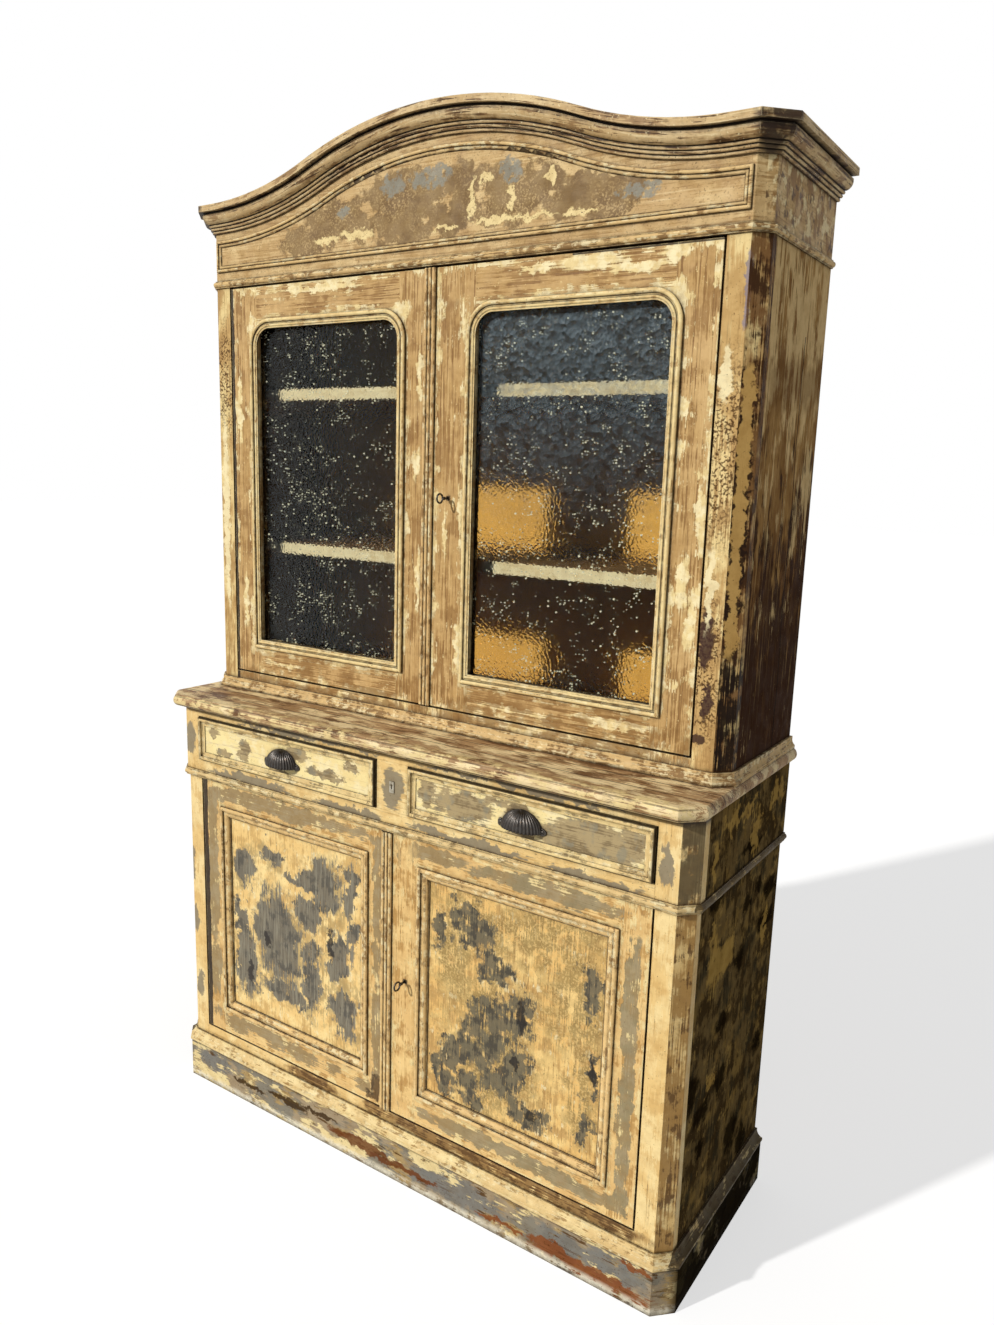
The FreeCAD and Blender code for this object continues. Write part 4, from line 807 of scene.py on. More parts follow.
def finish_right_panel(tone):
    """Right lower panel: peach paint rubbed to olive-brown mottling, with black-brown pools low down
    and small pits."""
    f = Finish("mottled_peach_panel_paint", "#e9bf76")
    f.run((1, 1, 20))
    f.coat("#f3d28c", 0.85, 56, 0.45, crisp=0.05, brush=0.4)
    f.coat("#bd955a", 0.8, 40, 0.42, crisp=0.05, brush=0.6, shift=3)
    f.streaks("#96703e", 0.18, 0.5)
    f.coat(tone.pale_cream, 0.75, 20, 0.12, brush=0.6, shift=12)
    rubbed = f.islands(
        [
            (200, 655, 130, 50), (330, 640, 150, 60), (440, 540, 66, 110), (150, 560, 46, 120),
            (460, 370, 44, 100), (260, 470, 100, 80), (250, 350, 120, 110), (400, 690, 110, 34),
        ],
        ragged=22, size=50, soft=0.4, brush=0.8,
    )
    f.coat("#97804e", 0.8, 24, 0.68, where=rubbed, crisp=0.05, brush=0.7, shift=6)
    f.coat("#dcbc7c", 0.7, 5, 0.32, where=rubbed, crisp=0.04, detail=2)
    pools = f.islands(
        [
            (200, 622, 50, 40), (248, 560, 46, 34), (315, 482, 34, 58), (252, 455, 62, 38),
            (220, 392, 46, 58), (308, 378, 30, 36), (265, 325, 58, 38), (335, 277, 54, 30),
            (158, 355, 34, 26), (470, 580, 22, 50), (480, 420, 14, 46), (195, 272, 40, 32),
            (185, 662, 36, 24), (140, 300, 24, 56), (470, 300, 14, 40), (120, 600, 16, 44),
        ],
        ragged=16, size=42, soft=0.07, brush=1.8,
    )
    f.build_up(pools, -0.25)
    f.coat("#67614f", 0.92, 26, 0.8, where=pools, crisp=0.05, brush=0.5, shift=23)
    f.coat("#413d35", 0.85, 24, 0.4, where=pools, crisp=0.05, brush=0.7, shift=8)
    pits = [(318, 480, 10, 34), (308, 378, 10, 15), (345, 278, 14, 9), (480, 420, 6, 26)]
    f.blot("#1f1a16", 0.9, pits, ragged=4.5, size=16, brush=1)
    f.specks("#4f3a1b", cover=0.07)
    f.dirt_and_shade("#33200d", 10)
    return f.surface(0.6, age=0.08, inside=tone.wood)


def finish_lower_case():
    """Lower posts, rails and divider: thick pale cream, grey-brown where drawers and doors have
    rubbed, a brown foot rail under the right door, and a painted shadow under the counter."""
    f = Finish("pale_cream_case_paint", "#e9c785")
    rails = corners("lower_rails")[1]
    f.run(level=(0, rails.x - 1))
    f.coat("#f5dda2", 0.85, 80, 0.45, crisp=0.06, brush=0.4, stretch=(1, 1, 1.5))
    f.coat("#d6af6c", 0.7, 36, 0.3, crisp=0.04, brush=0.8, shift=3)
    f.streaks("#a37d48", 0.12, 0.35)
    f.blot(
        "#8b8069", 0.93,
        [
            (-420, 812, 130, 11), (-120, 808, 96, 10), (190, 812, 140, 10), (470, 806, 96, 11),
            (0, 884, 26, 46), (606, 872, 13, 36), (-616, 880, 18, 32), (-250, 946, 200, 6),
            (300, 946, 220, 6), (-630, 560, 12, 44), (-612, 250, 14, 34), (-622, 420, 10, 34),
        ],
        ragged=6, size=30, soft=0.08, brush=1,
    )
    # Both posts' chamfers face 0.5 to 0.9 to their side; the outer faces turn further.
    chamfer = f.add("Math", {0: f.facing[0]}, operation="ABSOLUTE")
    chamfer = f.add("Math", {0: chamfer, 1: 0.7, 2: 0.2}, operation="COMPARE")
    f.coat("#a67e43", 0.88, 50, 0.7, where=chamfer, crisp=0.05, brush=0.7, shift=8)
    f.coat("#5f4220", 0.85, 30, 0.25, where=chamfer, crisp=0.03, brush=0.8, shift=14)
    above = f.both(chamfer, f.zone(z=past(corners("waist_moulding")[1].z + 1)))
    f.coat("#6b5d40", 0.9, 36, 0.8, where=above, crisp=0.05, shift=9)
    foot = f.islands(
        [(160, 136, 190, 19), (420, 136, 190, 19), (-235, 132, 80, 15), (-45, 136, 30, 18)],
        ragged=4, size=26, soft=0.15, brush=0.6,
    )
    f.coat("#8c6a3c", 0.92, 24, 0.86, where=foot, crisp=0.05, brush=0.8, shift=21)
    f.coat("#583c1d", 0.88, 20, 0.42, where=foot, crisp=0.04, brush=1.2, shift=26)
    # Painted shadow: a dark band along the top of the rails and posts, under the counter's overhang.
    f.lay(f.zone(z=(rails.z - 19, rails.z - 9)), "#24160a", 0.9)
    f.coat("#94794e", 0.8, 26, 0.05, brush=0.8, shift=12)
    f.specks("#533c1c")
    f.edge_wear_and_highlight("#8b6d40", 0.5, cover=0.4)
    f.dirt_and_shade("#33200d", 12, 0.9)
    return f.surface(0.56, age=0.2)


def finish_lower_sides(tone):
    """Lower plank sides: olive-brown paint worn in cloudy patches, with round dark stains and a
    little cream left; the inner face is bare."""
    f = Finish("stained_olive_side_paint", tone.shade_olive)
    f.run((1, 1, 16), width=5)
    f.coat("#8d7443", 0.85, 70, 0.36, crisp=0.04, brush=0.5)
    f.coat("#43341f", 0.92, 48, 0.5, crisp=0.04, brush=0.6, shift=3)
    f.coat("#a88b52", 0.85, 40, 0.15, crisp=0.03, brush=0.6, shift=6)
    f.coat("#3b372a", 0.75, 60, 0.24, crisp=0.05, brush=0.5, shift=11)
    f.streaks("#33240f", 0.14, 0.5)
    f.blot(
        "#1d150b", 0.9,
        [
            (71, 715, 22, 19), (136, 727, 20, 17), (-95, 772, 28, 15), (-68, 648, 30, 13),
            (52, 604, 26, 28), (190, 636, 50, 22), (-3, 376, 30, 28), (-95, 352, 42, 20),
            (205, 350, 30, 22), (82, 205, 34, 46), (-90, 270, 20, 15), (205, 700, 32, 24),
            (-150, 420, 28, 36), (150, 150, 24, 46), (60, 835, 64, 11), (-20, 500, 30, 20),
        ],
        ragged=8, size=28, axes=(1, 2), soft=0.25,
    )
    f.blot(
        "#c09d56", 0.75,
        [
            (-80, 640, 34, 50), (-20, 640, 40, 30), (-60, 410, 12, 20), (-128, 868, 16, 44),
            (-52, 914, 46, 18), (74, 866, 20, 46), (190, 610, 16, 40), (-100, 720, 12, 30),
            (22, 918, 30, 14), (182, 902, 34, 26),
        ],
        ragged=17, size=34, axes=(1, 2), soft=0.25, brush=1.5,
    )
    f.specks("#c7a970", 0.6, 0.03, shift=13)
    f.lay(f.zone(across=short_of(corners("lower_back")[1].x + 3)), tone.wood)
    f.dirt_and_shade("#1d1209", 20, 0.7)
    return f.surface(0.82, gloss=0)


def finish_plinth():
    """Plinth: scuffed blue-grey over red-brown primer, cream in ragged islands, a limewashed foot,
    painted shade under the cap, and sides painted near black as shade.
    """
    f = Finish("scuffed_plinth_paint", "#a6957a")
    f.run((12, 12, 1), width=5)
    f.coat("#858073", 0.92, 70, 0.46, brush=0.25, stretch=(2, 1, 1))
    f.coat("#b59a68", 0.88, 44, 0.3, crisp=0.03, brush=0.5, stretch=(2, 1, 1), shift=3)
    f.streaks("#6b5a3c", 0.16, 0.5)
    scuffs = [(195, 55, 130, 32), (510, 55, 115, 32), (-560, 60, 70, 20)]
    f.blot("#7c7b76", 0.9, scuffs, ragged=12, soft=0.2, brush=1)
    cream = {"brush": 0.3, "stretch": (2, 1, 1), "detail": 6, "shift": 8}
    f.coat("#edd9a2", 0.94, 54, 0.36, thick=0.35, crisp=0.012, **cream)
    f.coat("#5c4022", 0.88, 30, 0.1, brush=0.8, stretch=(2.5, 1, 1), shift=31)
    left_primer = [(-100, 45, 64, 13), (-20, 42, 74, 10), (80, 38, 64, 9)]
    f.blot("#6f3f20", 0.9, left_primer, ragged=6, size=26, brush=1.4)
    right_primer = [(500, 24, 126, 15), (420, 36, 54, 10), (600, 78, 36, 7), (300, 30, 54, 7)]
    f.blot("#874d27", 0.9, right_primer, ragged=7, size=30, brush=1.4)
    f.streaks("#4e2a12", 0.2, 0.5, where=f.islands([(460, 30, 200, 30), (0, 44, 180, 20)], soft=0.2))
    f.blot("#3d2a16", 0.88, [(-430, 45, 54, 6), (-300, 58, 64, 7), (-200, 66, 60, 5)], ragged=4, size=20)
    low, high = corners("plinth_boards")
    foot = f.zone(z=(low.z + 22, low.z + 9))
    f.coat("#efe9d4", 0.88, 24, 0.65, where=foot, crisp=0.04, brush=0.8, shift=2)
    # Painted shade: a dark band along the top of the boards, under the cap moulding.
    under = f.zone(z=(high.z - 7, high.z - 2))
    f.coat("#2f1d0d", 0.85, 60, 0.75, where=under, crisp=0.1, shift=14)
    # Painted shade: the sides near black, as they lie in shadow.
    flank = f.zone(y=(low.y + 22, low.y + 37))
    f.coat("#19130b", 0.96, 60, 0.93, where=flank, crisp=0.1, shift=4)
    f.specks("#4a3418", cover=0.07)
    f.edge_wear_and_highlight("#6d5433", 0.6, radius=2.2, cover=0.5)
    f.dirt_and_shade("#2b1b0c", 14)
    return f.surface(0.76, gloss=0)


def finish_bare_boards(tone, name, ground, way=GRAIN_UP, joints=()):
    """Unpainted pine: grain along the boards, darker late wood, a few knots, dust-brown with age, and
    dark open joints between upright planks."""
    f = Finish(name, ground)
    f.run(way, width=4)
    f.coat("#8d6b40", 0.5, 160, 0.5, crisp=0.1, brush=0.3)
    f.streaks("#6f4f2c", 0.3, crisp=0.06)
    f.streaks("#c49e6b", 0.25, 0.5, light=True, crisp=0.06)
    f.coat("#5b3d20", 0.7, 38, 0.05, shift=8)
    f.specks("#553b20", 0.5, 0.04)
    f.gaps(joints)
    f.dirt_and_shade(tone.stain, 30, 0.6)
    return f.surface(0.72)


def finish_back(tone):
    """Back boards: ochre paint towards the shelves and bare plank pine towards the wall."""
    f = Finish("ochre_and_bare_back_boards", tone.wood)
    f.run(GRAIN_UP, width=4)
    f.streaks("#6f4f2c", 0.3, crisp=0.06)
    f.coat("#5b3d20", 0.7, 38, 0.05, shift=8)
    inner = f.add("Math", {0: f.facing[1], 1: -0.5}, operation="LESS_THAN")
    f.lay(inner, tone.ochre)
    f.coat("#dba64a", 0.5, 90, 0.4, where=inner, crisp=0.1)
    f.gaps(plank_joints("upper_back"))
    f.specks("#5b4020", 0.5, 0.04)
    f.dirt_and_shade(tone.stain, 30, 0.6)
    return f.surface(0.72, gloss=0.15)


def finish_shelves():
    """Shelves in old cream paint: clean on the front edge, dark brown elsewhere."""
    f = Finish("old_cream_shelf_paint", "#5f4523")
    f.run(LEVEL)
    f.streaks("#4a3418", 0.2, 0.4)
    front_edge = corners("upper_shelves")[0].y
    edge = f.lay(f.zone(y=(front_edge + 5, front_edge + 2)), "#fdf0c0")
    f.coat("#e2c98e", 0.5, 30, 0.3, where=edge, crisp=0.05, brush=0.6)
    f.specks("#6a5130", 0.5, size=3.5)
    return f.surface(0.66)


def finish_iron(tone):
    """Cast iron, blackened and waxed: near-black with a soft sheen, brown in the pits, brighter on
    rubbed ribs, where the pale edges are also painted highlights, and near black in the grooves with dirt
    and painted shade."""
    f = Finish(IRON, tone.iron)
    f.coat("#3a332c", 0.7, 9, 0.35, crisp=0.06)
    f.coat("#4d3a2a", 0.6, 5, 0.12, crisp=0.03, shift=4)
    # The pale rib edges are rubbed iron and also painted highlights.
    f.edge_wear_and_highlight("#a39e96", 0.8, radius=0.7, cover=0.8)
    # Dirt and painted shade near black in the grooves between the ribs.
    f.dirt_and_shade("#100d0b", 5, 0.95, low=0.6, high=1)
    sheen = {"Value": f.clouds(5), "To Min": 0.2, "To Max": 0.44}
    relief = {"Strength": 0.6, "Distance": 0.3 * MM, "Height": f.clouds(1.5, detail=2)}
    iron = {
        "Base Color": f.colour,
        "Metallic": 0.75,
        "Roughness": f.add("MapRange", sheen),
        "Normal": f.add("Bump", relief),
    }
    return f.end(f.add("BsdfPrincipled", iron))


def finish_plate():
    """Tarnished sheet steel: pale grey rubbed by keys, brown spots, black with dirt and painted shade in
    the keyhole.
    """
    f = Finish("tarnished_keyhole_steel", "#b3ad9c")
    f.coat("#8a816c", 0.8, 9, 0.35, crisp=0.05)
    f.specks("#4b3a24", 0.8, 0.08, 3)
    f.dirt_and_shade("#0d0a07", 6, 0.97, low=0.5, high=0.9)
    return f.surface(0.45, gloss=0.4, age=0.1)


def finish_glass():
    """Hammered cathedral glass: clear, its outer face beaten into shallow cells about 8 mm wide that
    break up what stands behind, a little dust all over, a painted blue-grey reflection of the sky high
    on the right pane, and flecked with dried paint that also stands in for glints of reflected light."""
    f = Finish("hammered_cathedral_glass", "#f2f1ec")
    cell, wander = 8, 12
    uneven = {0: f.clouds(16, detail=2, out="Color"), 1: [wander] * 3, 2: f.place}
    across, _, up = f.parts(f.add("VectorMath", uneven, operation="MULTIPLY_ADD"))
    beat = {"Vector": f.add("CombineXYZ", {0: across, 1: up}), "Scale": 1 / cell, "Smoothness": 0.4}
    cells = f.add("TexVoronoi", beat, feature="SMOOTH_F1", voronoi_dimensions="2D").node.outputs
    outer = f.add("Math", {0: f.facing[1], 1: -0.5}, operation="LESS_THAN")
    relief = {"Strength": f.both(outer, 0.6), "Distance": 1.5 * MM, "Height": cells["Distance"]}
    # A dark tint dims the gloss of the glass.
    clear = {
        "Base Color": f.colour,
        "Roughness": 0.02,
        "IOR": 1.45,
        "Specular Tint": linear("#45463a"),
        "Transmission Weight": 1,
        "Normal": f.add("Bump", relief),
    }
    # Each beaten cell holds its own share of a blue-grey film: a little dust everywhere, and a painted
    # reflection of the sky high on the right pane.
    share = f.add("MapRange", {"Value": f.parts(cells["Color"])[0], "To Min": 0.2, "To Max": 1.25})
    beaten = {"Strength": 1, "Distance": 5 * MM, "Height": cells["Distance"]}
    high = f.zone(z=(1400, 1800), x=past(0))
    dust_and_sky_haze = f.add("Math", {0: high, 1: 0.32, 2: 0.015}, operation="MULTIPLY_ADD")
    dust_and_sky_film = {
        "Base Color": linear("#72828a"),
        "Roughness": 0.4,
        "Specular IOR Level": 0.3,
        "Normal": f.add("Bump", beaten),
    }
    dust_and_sky_mix = {
        0: f.both(dust_and_sky_haze, share),
        1: f.add("BsdfPrincipled", clear),
        2: f.add("BsdfPrincipled", dust_and_sky_film),
    }
    # Pale flecks of dried paint, which also stand in as painted glints of reflected light.
    flecks = f.both(f.dots(9, 2.2, 0.2), f.patches(50, 0.36, crisp=0.05, shift=3))
    flecks = f.either(flecks, f.dots(24, 2, 0.12))
    spray = f.both(f.dots(5, 1.9, 0.4), f.patches(40, 0.28, crisp=0.05, shift=9))
    flecked_and_glinting = {
        0: f.both(f.either(flecks, spray), 0.7),
        1: f.add("MixShader", dust_and_sky_mix),
        2: f.add("BsdfPrincipled", {"Base Color": linear("#d8d6b4"), "Roughness": 0.6}),
    }
    # Sunlight passes for shadows; of the even light round about, little reaches the deep shelves.
    rays = f.add("LightPath").node.outputs
    shader = f.add("MixShader", flecked_and_glinting)
    for ray, tint in (("Is Diffuse Ray", "#42423c"), ("Is Shadow Ray", "#ffffff")):
        through = f.add("BsdfTransparent", {"Color": linear(tint)})
        shader = f.add("MixShader", {0: rays[ray], 1: shader, 2: through})
    return f.end(shader)


def made_mesh(shape, name):
    """Turns a bmesh into a mesh and frees it."""
    mesh = bpy.data.meshes.new(name)
    shape.to_mesh(mesh)
    shape.free()
    return mesh


def add_object(name, data):
    """Puts a mesh, light or camera into the scene."""
    thing = bpy.data.objects.new(name, data)
    bpy.context.scene.collection.objects.link(thing)
    return thing


def place_piece(shape, name, body, *nodes, smooth=True):
    """Makes an iron piece from a bmesh, in place, riding on its body and standing for its CAD nodes."""
    bmesh.ops.recalc_face_normals(shape, faces=shape.faces)
    mesh = made_mesh(shape, name)
    for face in mesh.polygons:
        face.use_smooth = smooth
    mesh.materials.append(bpy.data.materials[IRON])
    piece = add_object(name, mesh)
    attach(piece, body)
    if nodes:
        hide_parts(*nodes)
    return piece


def cut(shape, place, away, near=0.0):
    """Cuts off what lies past a plane; vertices as near as that to it count as on it."""
    everything = shape.verts[:] + shape.edges[:] + shape.faces[:]
    bmesh.ops.bisect_plane(
        shape, geom=everything, plane_co=place, plane_no=away, clear_outer=True, dist=near
    )


class CupboardOperator:
    """What every step shares."""

    bl_options = {"REGISTER", "UNDO"}


class CUPBOARD_OT_plinth(CupboardOperator, bpy.types.Operator):
    """Paints the plinth and its cap moulding"""

    bl_idname = "cupboard.plinth"
    bl_label = "Plinth"

    def execute(self, context):
        tone = context.scene.cupboard_colours
        dress(finish_plinth(), "plinth_boards")
        cap = finish_moulding(
            tone, "cream_plinth_cap_paint", "#eed8a0", "#a58451", 0.3, reach=9, flank="#33271a"
        )
        dress(cap, "plinth_cap_moulding")
        return {"FINISHED"}


class CUPBOARD_OT_lower_case(CupboardOperator, bpy.types.Operator):
    """Paints the lower case, its sides and its waist moulding"""

    bl_idname = "cupboard.lower_case"
    bl_label = "Lower case"

    def execute(self, context):
        tone = context.scene.cupboard_colours
        dress(finish_lower_case(), "lower_posts", "lower_rails", "drawer_divider")
        dress(finish_lower_sides(tone), "lower_sides")
        waist = finish_moulding(
            tone, "cream_waist_moulding_paint", "#e2c78f", "#8a7550", 0.36, flank="#4b3b22"
        )
        dress(waist, "waist_moulding")
        joints = plank_joints("lower_back")
        dress(finish_bare_boards(tone, "bare_back_pine", tone.wood, joints=joints), "lower_back")
        level = finish_bare_boards(tone, "bare_shelf_pine", tone.wood, GRAIN_LEVEL)
        dress(level, "lower_bottom", "lower_shelf", "drawer_runners", "shelf_cleats")
        return {"FINISHED"}


class CUPBOARD_OT_counter(CupboardOperator, bpy.types.Operator):
    """Paints the counter planks and their rounded edge"""

    bl_idname = "cupboard.counter"
    bl_label = "Counter"

    def execute(self, context):
        dress(finish_counter(context.scene.cupboard_colours), "counter_boards", "counter_edge")
        return {"FINISHED"}


class CUPBOARD_OT_drawers(CupboardOperator, bpy.types.Operator):
    """Paints the drawer fronts and mouldings and leaves the boxes bare"""

    bl_idname = "cupboard.drawers"
    bl_label = "Drawers"

    def execute(self, context):
        tone = context.scene.cupboard_colours
        dress(finish_drawers(tone), *sides("{}_drawer_front"))
        moulding = finish_moulding(
            tone, "cream_drawer_moulding_paint", "#ecd498", "#8f7c58", 0.34, UP,
            level=span("right_drawer_moulding", 18), outer=front("right_drawer_moulding", 1.6),
        )
        dress(moulding, *sides("{}_drawer_moulding"))
        box = finish_bare_boards(tone, "bare_drawer_pine", "#b4905f", GRAIN_LEVEL)
        dress(box, *sides("{}_drawer_box"))
        return {"FINISHED"}


class CUPBOARD_OT_lower_doors(CupboardOperator, bpy.types.Operator):
    """Paints the lower doors, their panels, mouldings and astragal"""

    bl_idname = "cupboard.lower_doors"
    bl_label = "Lower doors"

    def execute(self, context):
        tone = context.scene.cupboard_colours
        dress(finish_lower_frames(tone), *sides("lower_{}_door_frame"))
        dress(finish_left_panel(tone), "lower_left_door_panel")
        dress(finish_right_panel(tone), "lower_right_door_panel")
        moulding = finish_moulding(
            tone, "peach_panel_moulding_paint", "#e6c488", "#93734a", 0.32, UP,
            level=span("lower_right_door_moulding", 26), foot=seat("lower_right_door_moulding") - 2,
        )
        dress(moulding, *sides("lower_{}_door_moulding"), "lower_left_door_astragal")
        return {"FINISHED"}


class CUPBOARD_OT_upper_case(CupboardOperator, bpy.types.Operator):
    """Paints the upper case inside and out"""

    bl_idname = "cupboard.upper_case"
    bl_label = "Upper case"

    def execute(self, context):
        tone = context.scene.cupboard_colours
        dress(finish_upper_posts(tone), "upper_posts")
        dress(finish_upper_sides(tone), "upper_sides")
        moulding = finish_moulding(tone, "tan_case_moulding_paint", "#d9ba84", "#80603a", 0.46)
        dress(moulding, "upper_base_moulding", "frieze_base_moulding")
        dress(finish_back(tone), "upper_back")
        dress(finish_shelves(), "upper_shelves")
        level = finish_bare_boards(tone, "bare_upper_pine", "#8f6c3c", GRAIN_LEVEL)
        dress(level, "upper_bottom", "upper_top")
        return {"FINISHED"}


class CUPBOARD_OT_glazed_doors(CupboardOperator, bpy.types.Operator):
    """Paints the glazed doors and gives them hammered glass"""

    bl_idname = "cupboard.glazed_doors"
    bl_label = "Glazed doors"

    def execute(self, context):
        tone = context.scene.cupboard_colours
        dress(finish_upper_doors(tone), *sides("upper_{}_door_frame"), "upper_rails")
        strips = sides("upper_{}_door_glazing_moulding")
        moulding = finish_moulding(
            tone, "cream_glazing_moulding_paint", "#f0d99e", "#b08b57", 0.26, UP,
            level=span(strips[1], 18), foot=seat(strips[1]) - 2,
        )
        dress(moulding, *strips, *sides("upper_{}_door_glass_beads"))
        astragal = finish_moulding(tone, "tan_astragal_paint", "#d6b27a", "#8d6a40", 0.36, UP)
        dress(astragal, "upper_left_door_astragal")
        dress(finish_glass(), *sides("upper_{}_door_glass"))
        return {"FINISHED"}


class CUPBOARD_OT_crown(CupboardOperator, bpy.types.Operator):
    """Paints the frieze, its moulding and the arched cornice"""

    bl_idname = "cupboard.crown"
    bl_label = "Frieze and cornice"

    def execute(self, context):
        tone = context.scene.cupboard_colours
        dress(finish_frieze(tone), "frieze_boards")
        moulding = finish_moulding(
            tone, "tan_frieze_moulding_paint", "#dec08a", "#937045", 0.3, reach=13,
            foot=seat("frieze_frame_moulding") - 2.2,
        )
        dress(moulding, "frieze_frame_moulding")
        dress(finish_cornice(tone), "cornice")
        return {"FINISHED"}


class CUPBOARD_OT_ironwork(CupboardOperator, bpy.types.Operator):
    """Blackens the locks, bolts and pivot pins, and tarnishes the keyhole plate"""

    bl_idname = "cupboard.ironwork"
    bl_label = "Locks and pins"

    def execute(self, context):
        iron = finish_iron(context.scene.cupboard_colours)
        dress(iron, "lower_lock", "upper_lock", "lower_bolt", "upper_bolt", "pivot_pins")
        dress(finish_plate(), "drawer_keyhole_plate")
        return {"FINISHED"}


class CUPBOARD_OT_pulls(CupboardOperator, bpy.types.Operator):
    """Casts the ribbed cup pulls with their lobed ears"""

    bl_idname = "cupboard.pulls"
    bl_label = "Cup pulls"

    def execute(self, context):
        sizes = context.scene.cupboard_pulls
        for side in ("left", "right"):
            low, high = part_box(f"{side}_drawer_pull")
            rim = Vector(((low.x + high.x) / 2, high.y, low.z + sizes.rim_height))
            self.cast_cup(sizes, side, rim, rim.y - low.y, high.z - rim.z)
            self.cast_ears(sizes, side, rim, high.z)
        return {"FINISHED"}

    def cast_cup(self, sizes, side, rim, depth, height):
        """A quarter of a fluted ball, hollow, with its rim at the bottom and its back on the drawer."""
        shape = bmesh.new()
        bmesh.ops.create_uvsphere(shape, u_segments=8 * sizes.ribs, v_segments=28, radius=1)
        crest = 0.6
        for vert in shape.verts:
            turn = math.atan2(vert.co.x, -vert.co.y)
            flute = abs(math.sin(sizes.ribs * turn)) ** crest
            vert.co *= 1 - sizes.rib_depth * (1 - flute) * math.hypot(vert.co.x, vert.co.y)
        for away in ((0, 0, -1), (0, 1, 0)):
            cut(shape, (0, 0, 0), away, 1e-5)
        bmesh.ops.scale(shape, verts=shape.verts, vec=(sizes.half_width, depth, height))
        bmesh.ops.translate(shape, verts=shape.verts, vec=rim)
        cup = place_piece(shape, f"{side}_cup", f"{side}_drawer", f"{side}_drawer_pull")
        wall = cup.modifiers.new("wall", "SOLIDIFY")
        wall.thickness, wall.offset = sizes.thickness, -1

    def cast_ears(self, sizes, side, rim, top):
        """Two lobed screw ears flat on the drawer, and the knob at the top where the ribs meet."""
        shape = bmesh.new()
        lobes, lobe_depth = 3, 0.1
        for way in (-1, 1):
            ear = bmesh.ops.create_cone(
                shape, cap_ends=True, segments=48, radius1=1, radius2=1, depth=sizes.ear_thickness
            )["verts"]
            for vert in ear:
                wave = math.cos(lobes * math.atan2(vert.co.y, vert.co.x))
                lobe = 1 - lobe_depth + lobe_depth * wave
                vert.co.xy *= lobe * sizes.ear_radius
            place = rim + Vector((way * sizes.ear_reach, -sizes.ear_thickness / 2, sizes.ear_radius / 2))
            flat = Matrix.Translation(place) @ Matrix.Rotation(math.pi / 2, 4, "X")
            bmesh.ops.transform(shape, verts=ear, matrix=flat)
        knob = bmesh.ops.create_uvsphere(shape, u_segments=24, v_segments=16, radius=sizes.knob_radius)
        sunk = 3 * MM
        bmesh.ops.translate(shape, verts=knob["verts"], vec=(rim.x, rim.y - sunk, top - sunk))
        ears = place_piece(shape, f"{side}_cup_ears", f"{side}_drawer")
        round_over = ears.modifiers.new("round_over", "BEVEL")
        round_over.width, round_over.segments = 0.9 * MM, 3
        round_over.limit_method, round_over.angle_limit = "ANGLE", math.radians(50)


class CUPBOARD_OT_screws(CupboardOperator, bpy.types.Operator):
    """Turns the slotted screws of the cup pulls"""

    bl_idname = "cupboard.screws"
    bl_label = "Pull screws"

    def execute(self, context):
        sizes = context.scene.cupboard_pulls
        head = sizes.head_radius
        shank_radius, tip_radius, neck = 0.6 * head, 0.25 * head, 1.2 * MM
        for side in ("left", "right"):
            low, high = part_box(f"{side}_drawer_pull_screws")
            level = (low.z + high.z) / 2
            shape = bmesh.new()
            for place in (low.x + head, high.x - head):
                self.turn_head(shape, sizes, Vector((place, low.y + sizes.head_height, level)))
                shank = bmesh.ops.create_cone(
                    shape, cap_ends=True, segments=24, radius1=shank_radius, radius2=tip_radius,
                    depth=high.y - low.y - neck,
                )["verts"]
                middle = Matrix.Translation((place, (low.y + high.y + neck) / 2, level))
                inward = middle @ Matrix.Rotation(-math.pi / 2, 4, "X")
                bmesh.ops.transform(shape, verts=shank, matrix=inward)
            name = f"{side}_drawer_pull_screws"
            place_piece(shape, f"{side}_screws", f"{side}_drawer", name, smooth=False)
        return {"FINISHED"}

    def turn_head(self, shape, sizes, place):
        """The two cheeks of a domed head, one on each side of its slot."""
        half_slot, slot_turn = 0.16, 0.5
        for way in (-1, 1):
            cheek = bmesh.new()
            bmesh.ops.create_uvsphere(cheek, u_segments=32, v_segments=16, radius=1)
            cut(cheek, (0, 0, 0), (0, 1, 0))
            cut(cheek, (0, 0, half_slot * way), (0, 0, -way))
            bmesh.ops.holes_fill(cheek, edges=cheek.edges, sides=0)
            dome = (sizes.head_radius, sizes.head_height, sizes.head_radius)
            bmesh.ops.scale(cheek, verts=cheek.verts, vec=dome)
            bmesh.ops.rotate(cheek, verts=cheek.verts, matrix=Matrix.Rotation(slot_turn, 3, "Y"))
            bmesh.ops.translate(cheek, verts=cheek.verts, vec=place)
            loose = made_mesh(cheek, "cheek")
            shape.from_mesh(loose)
            bpy.data.meshes.remove(loose)


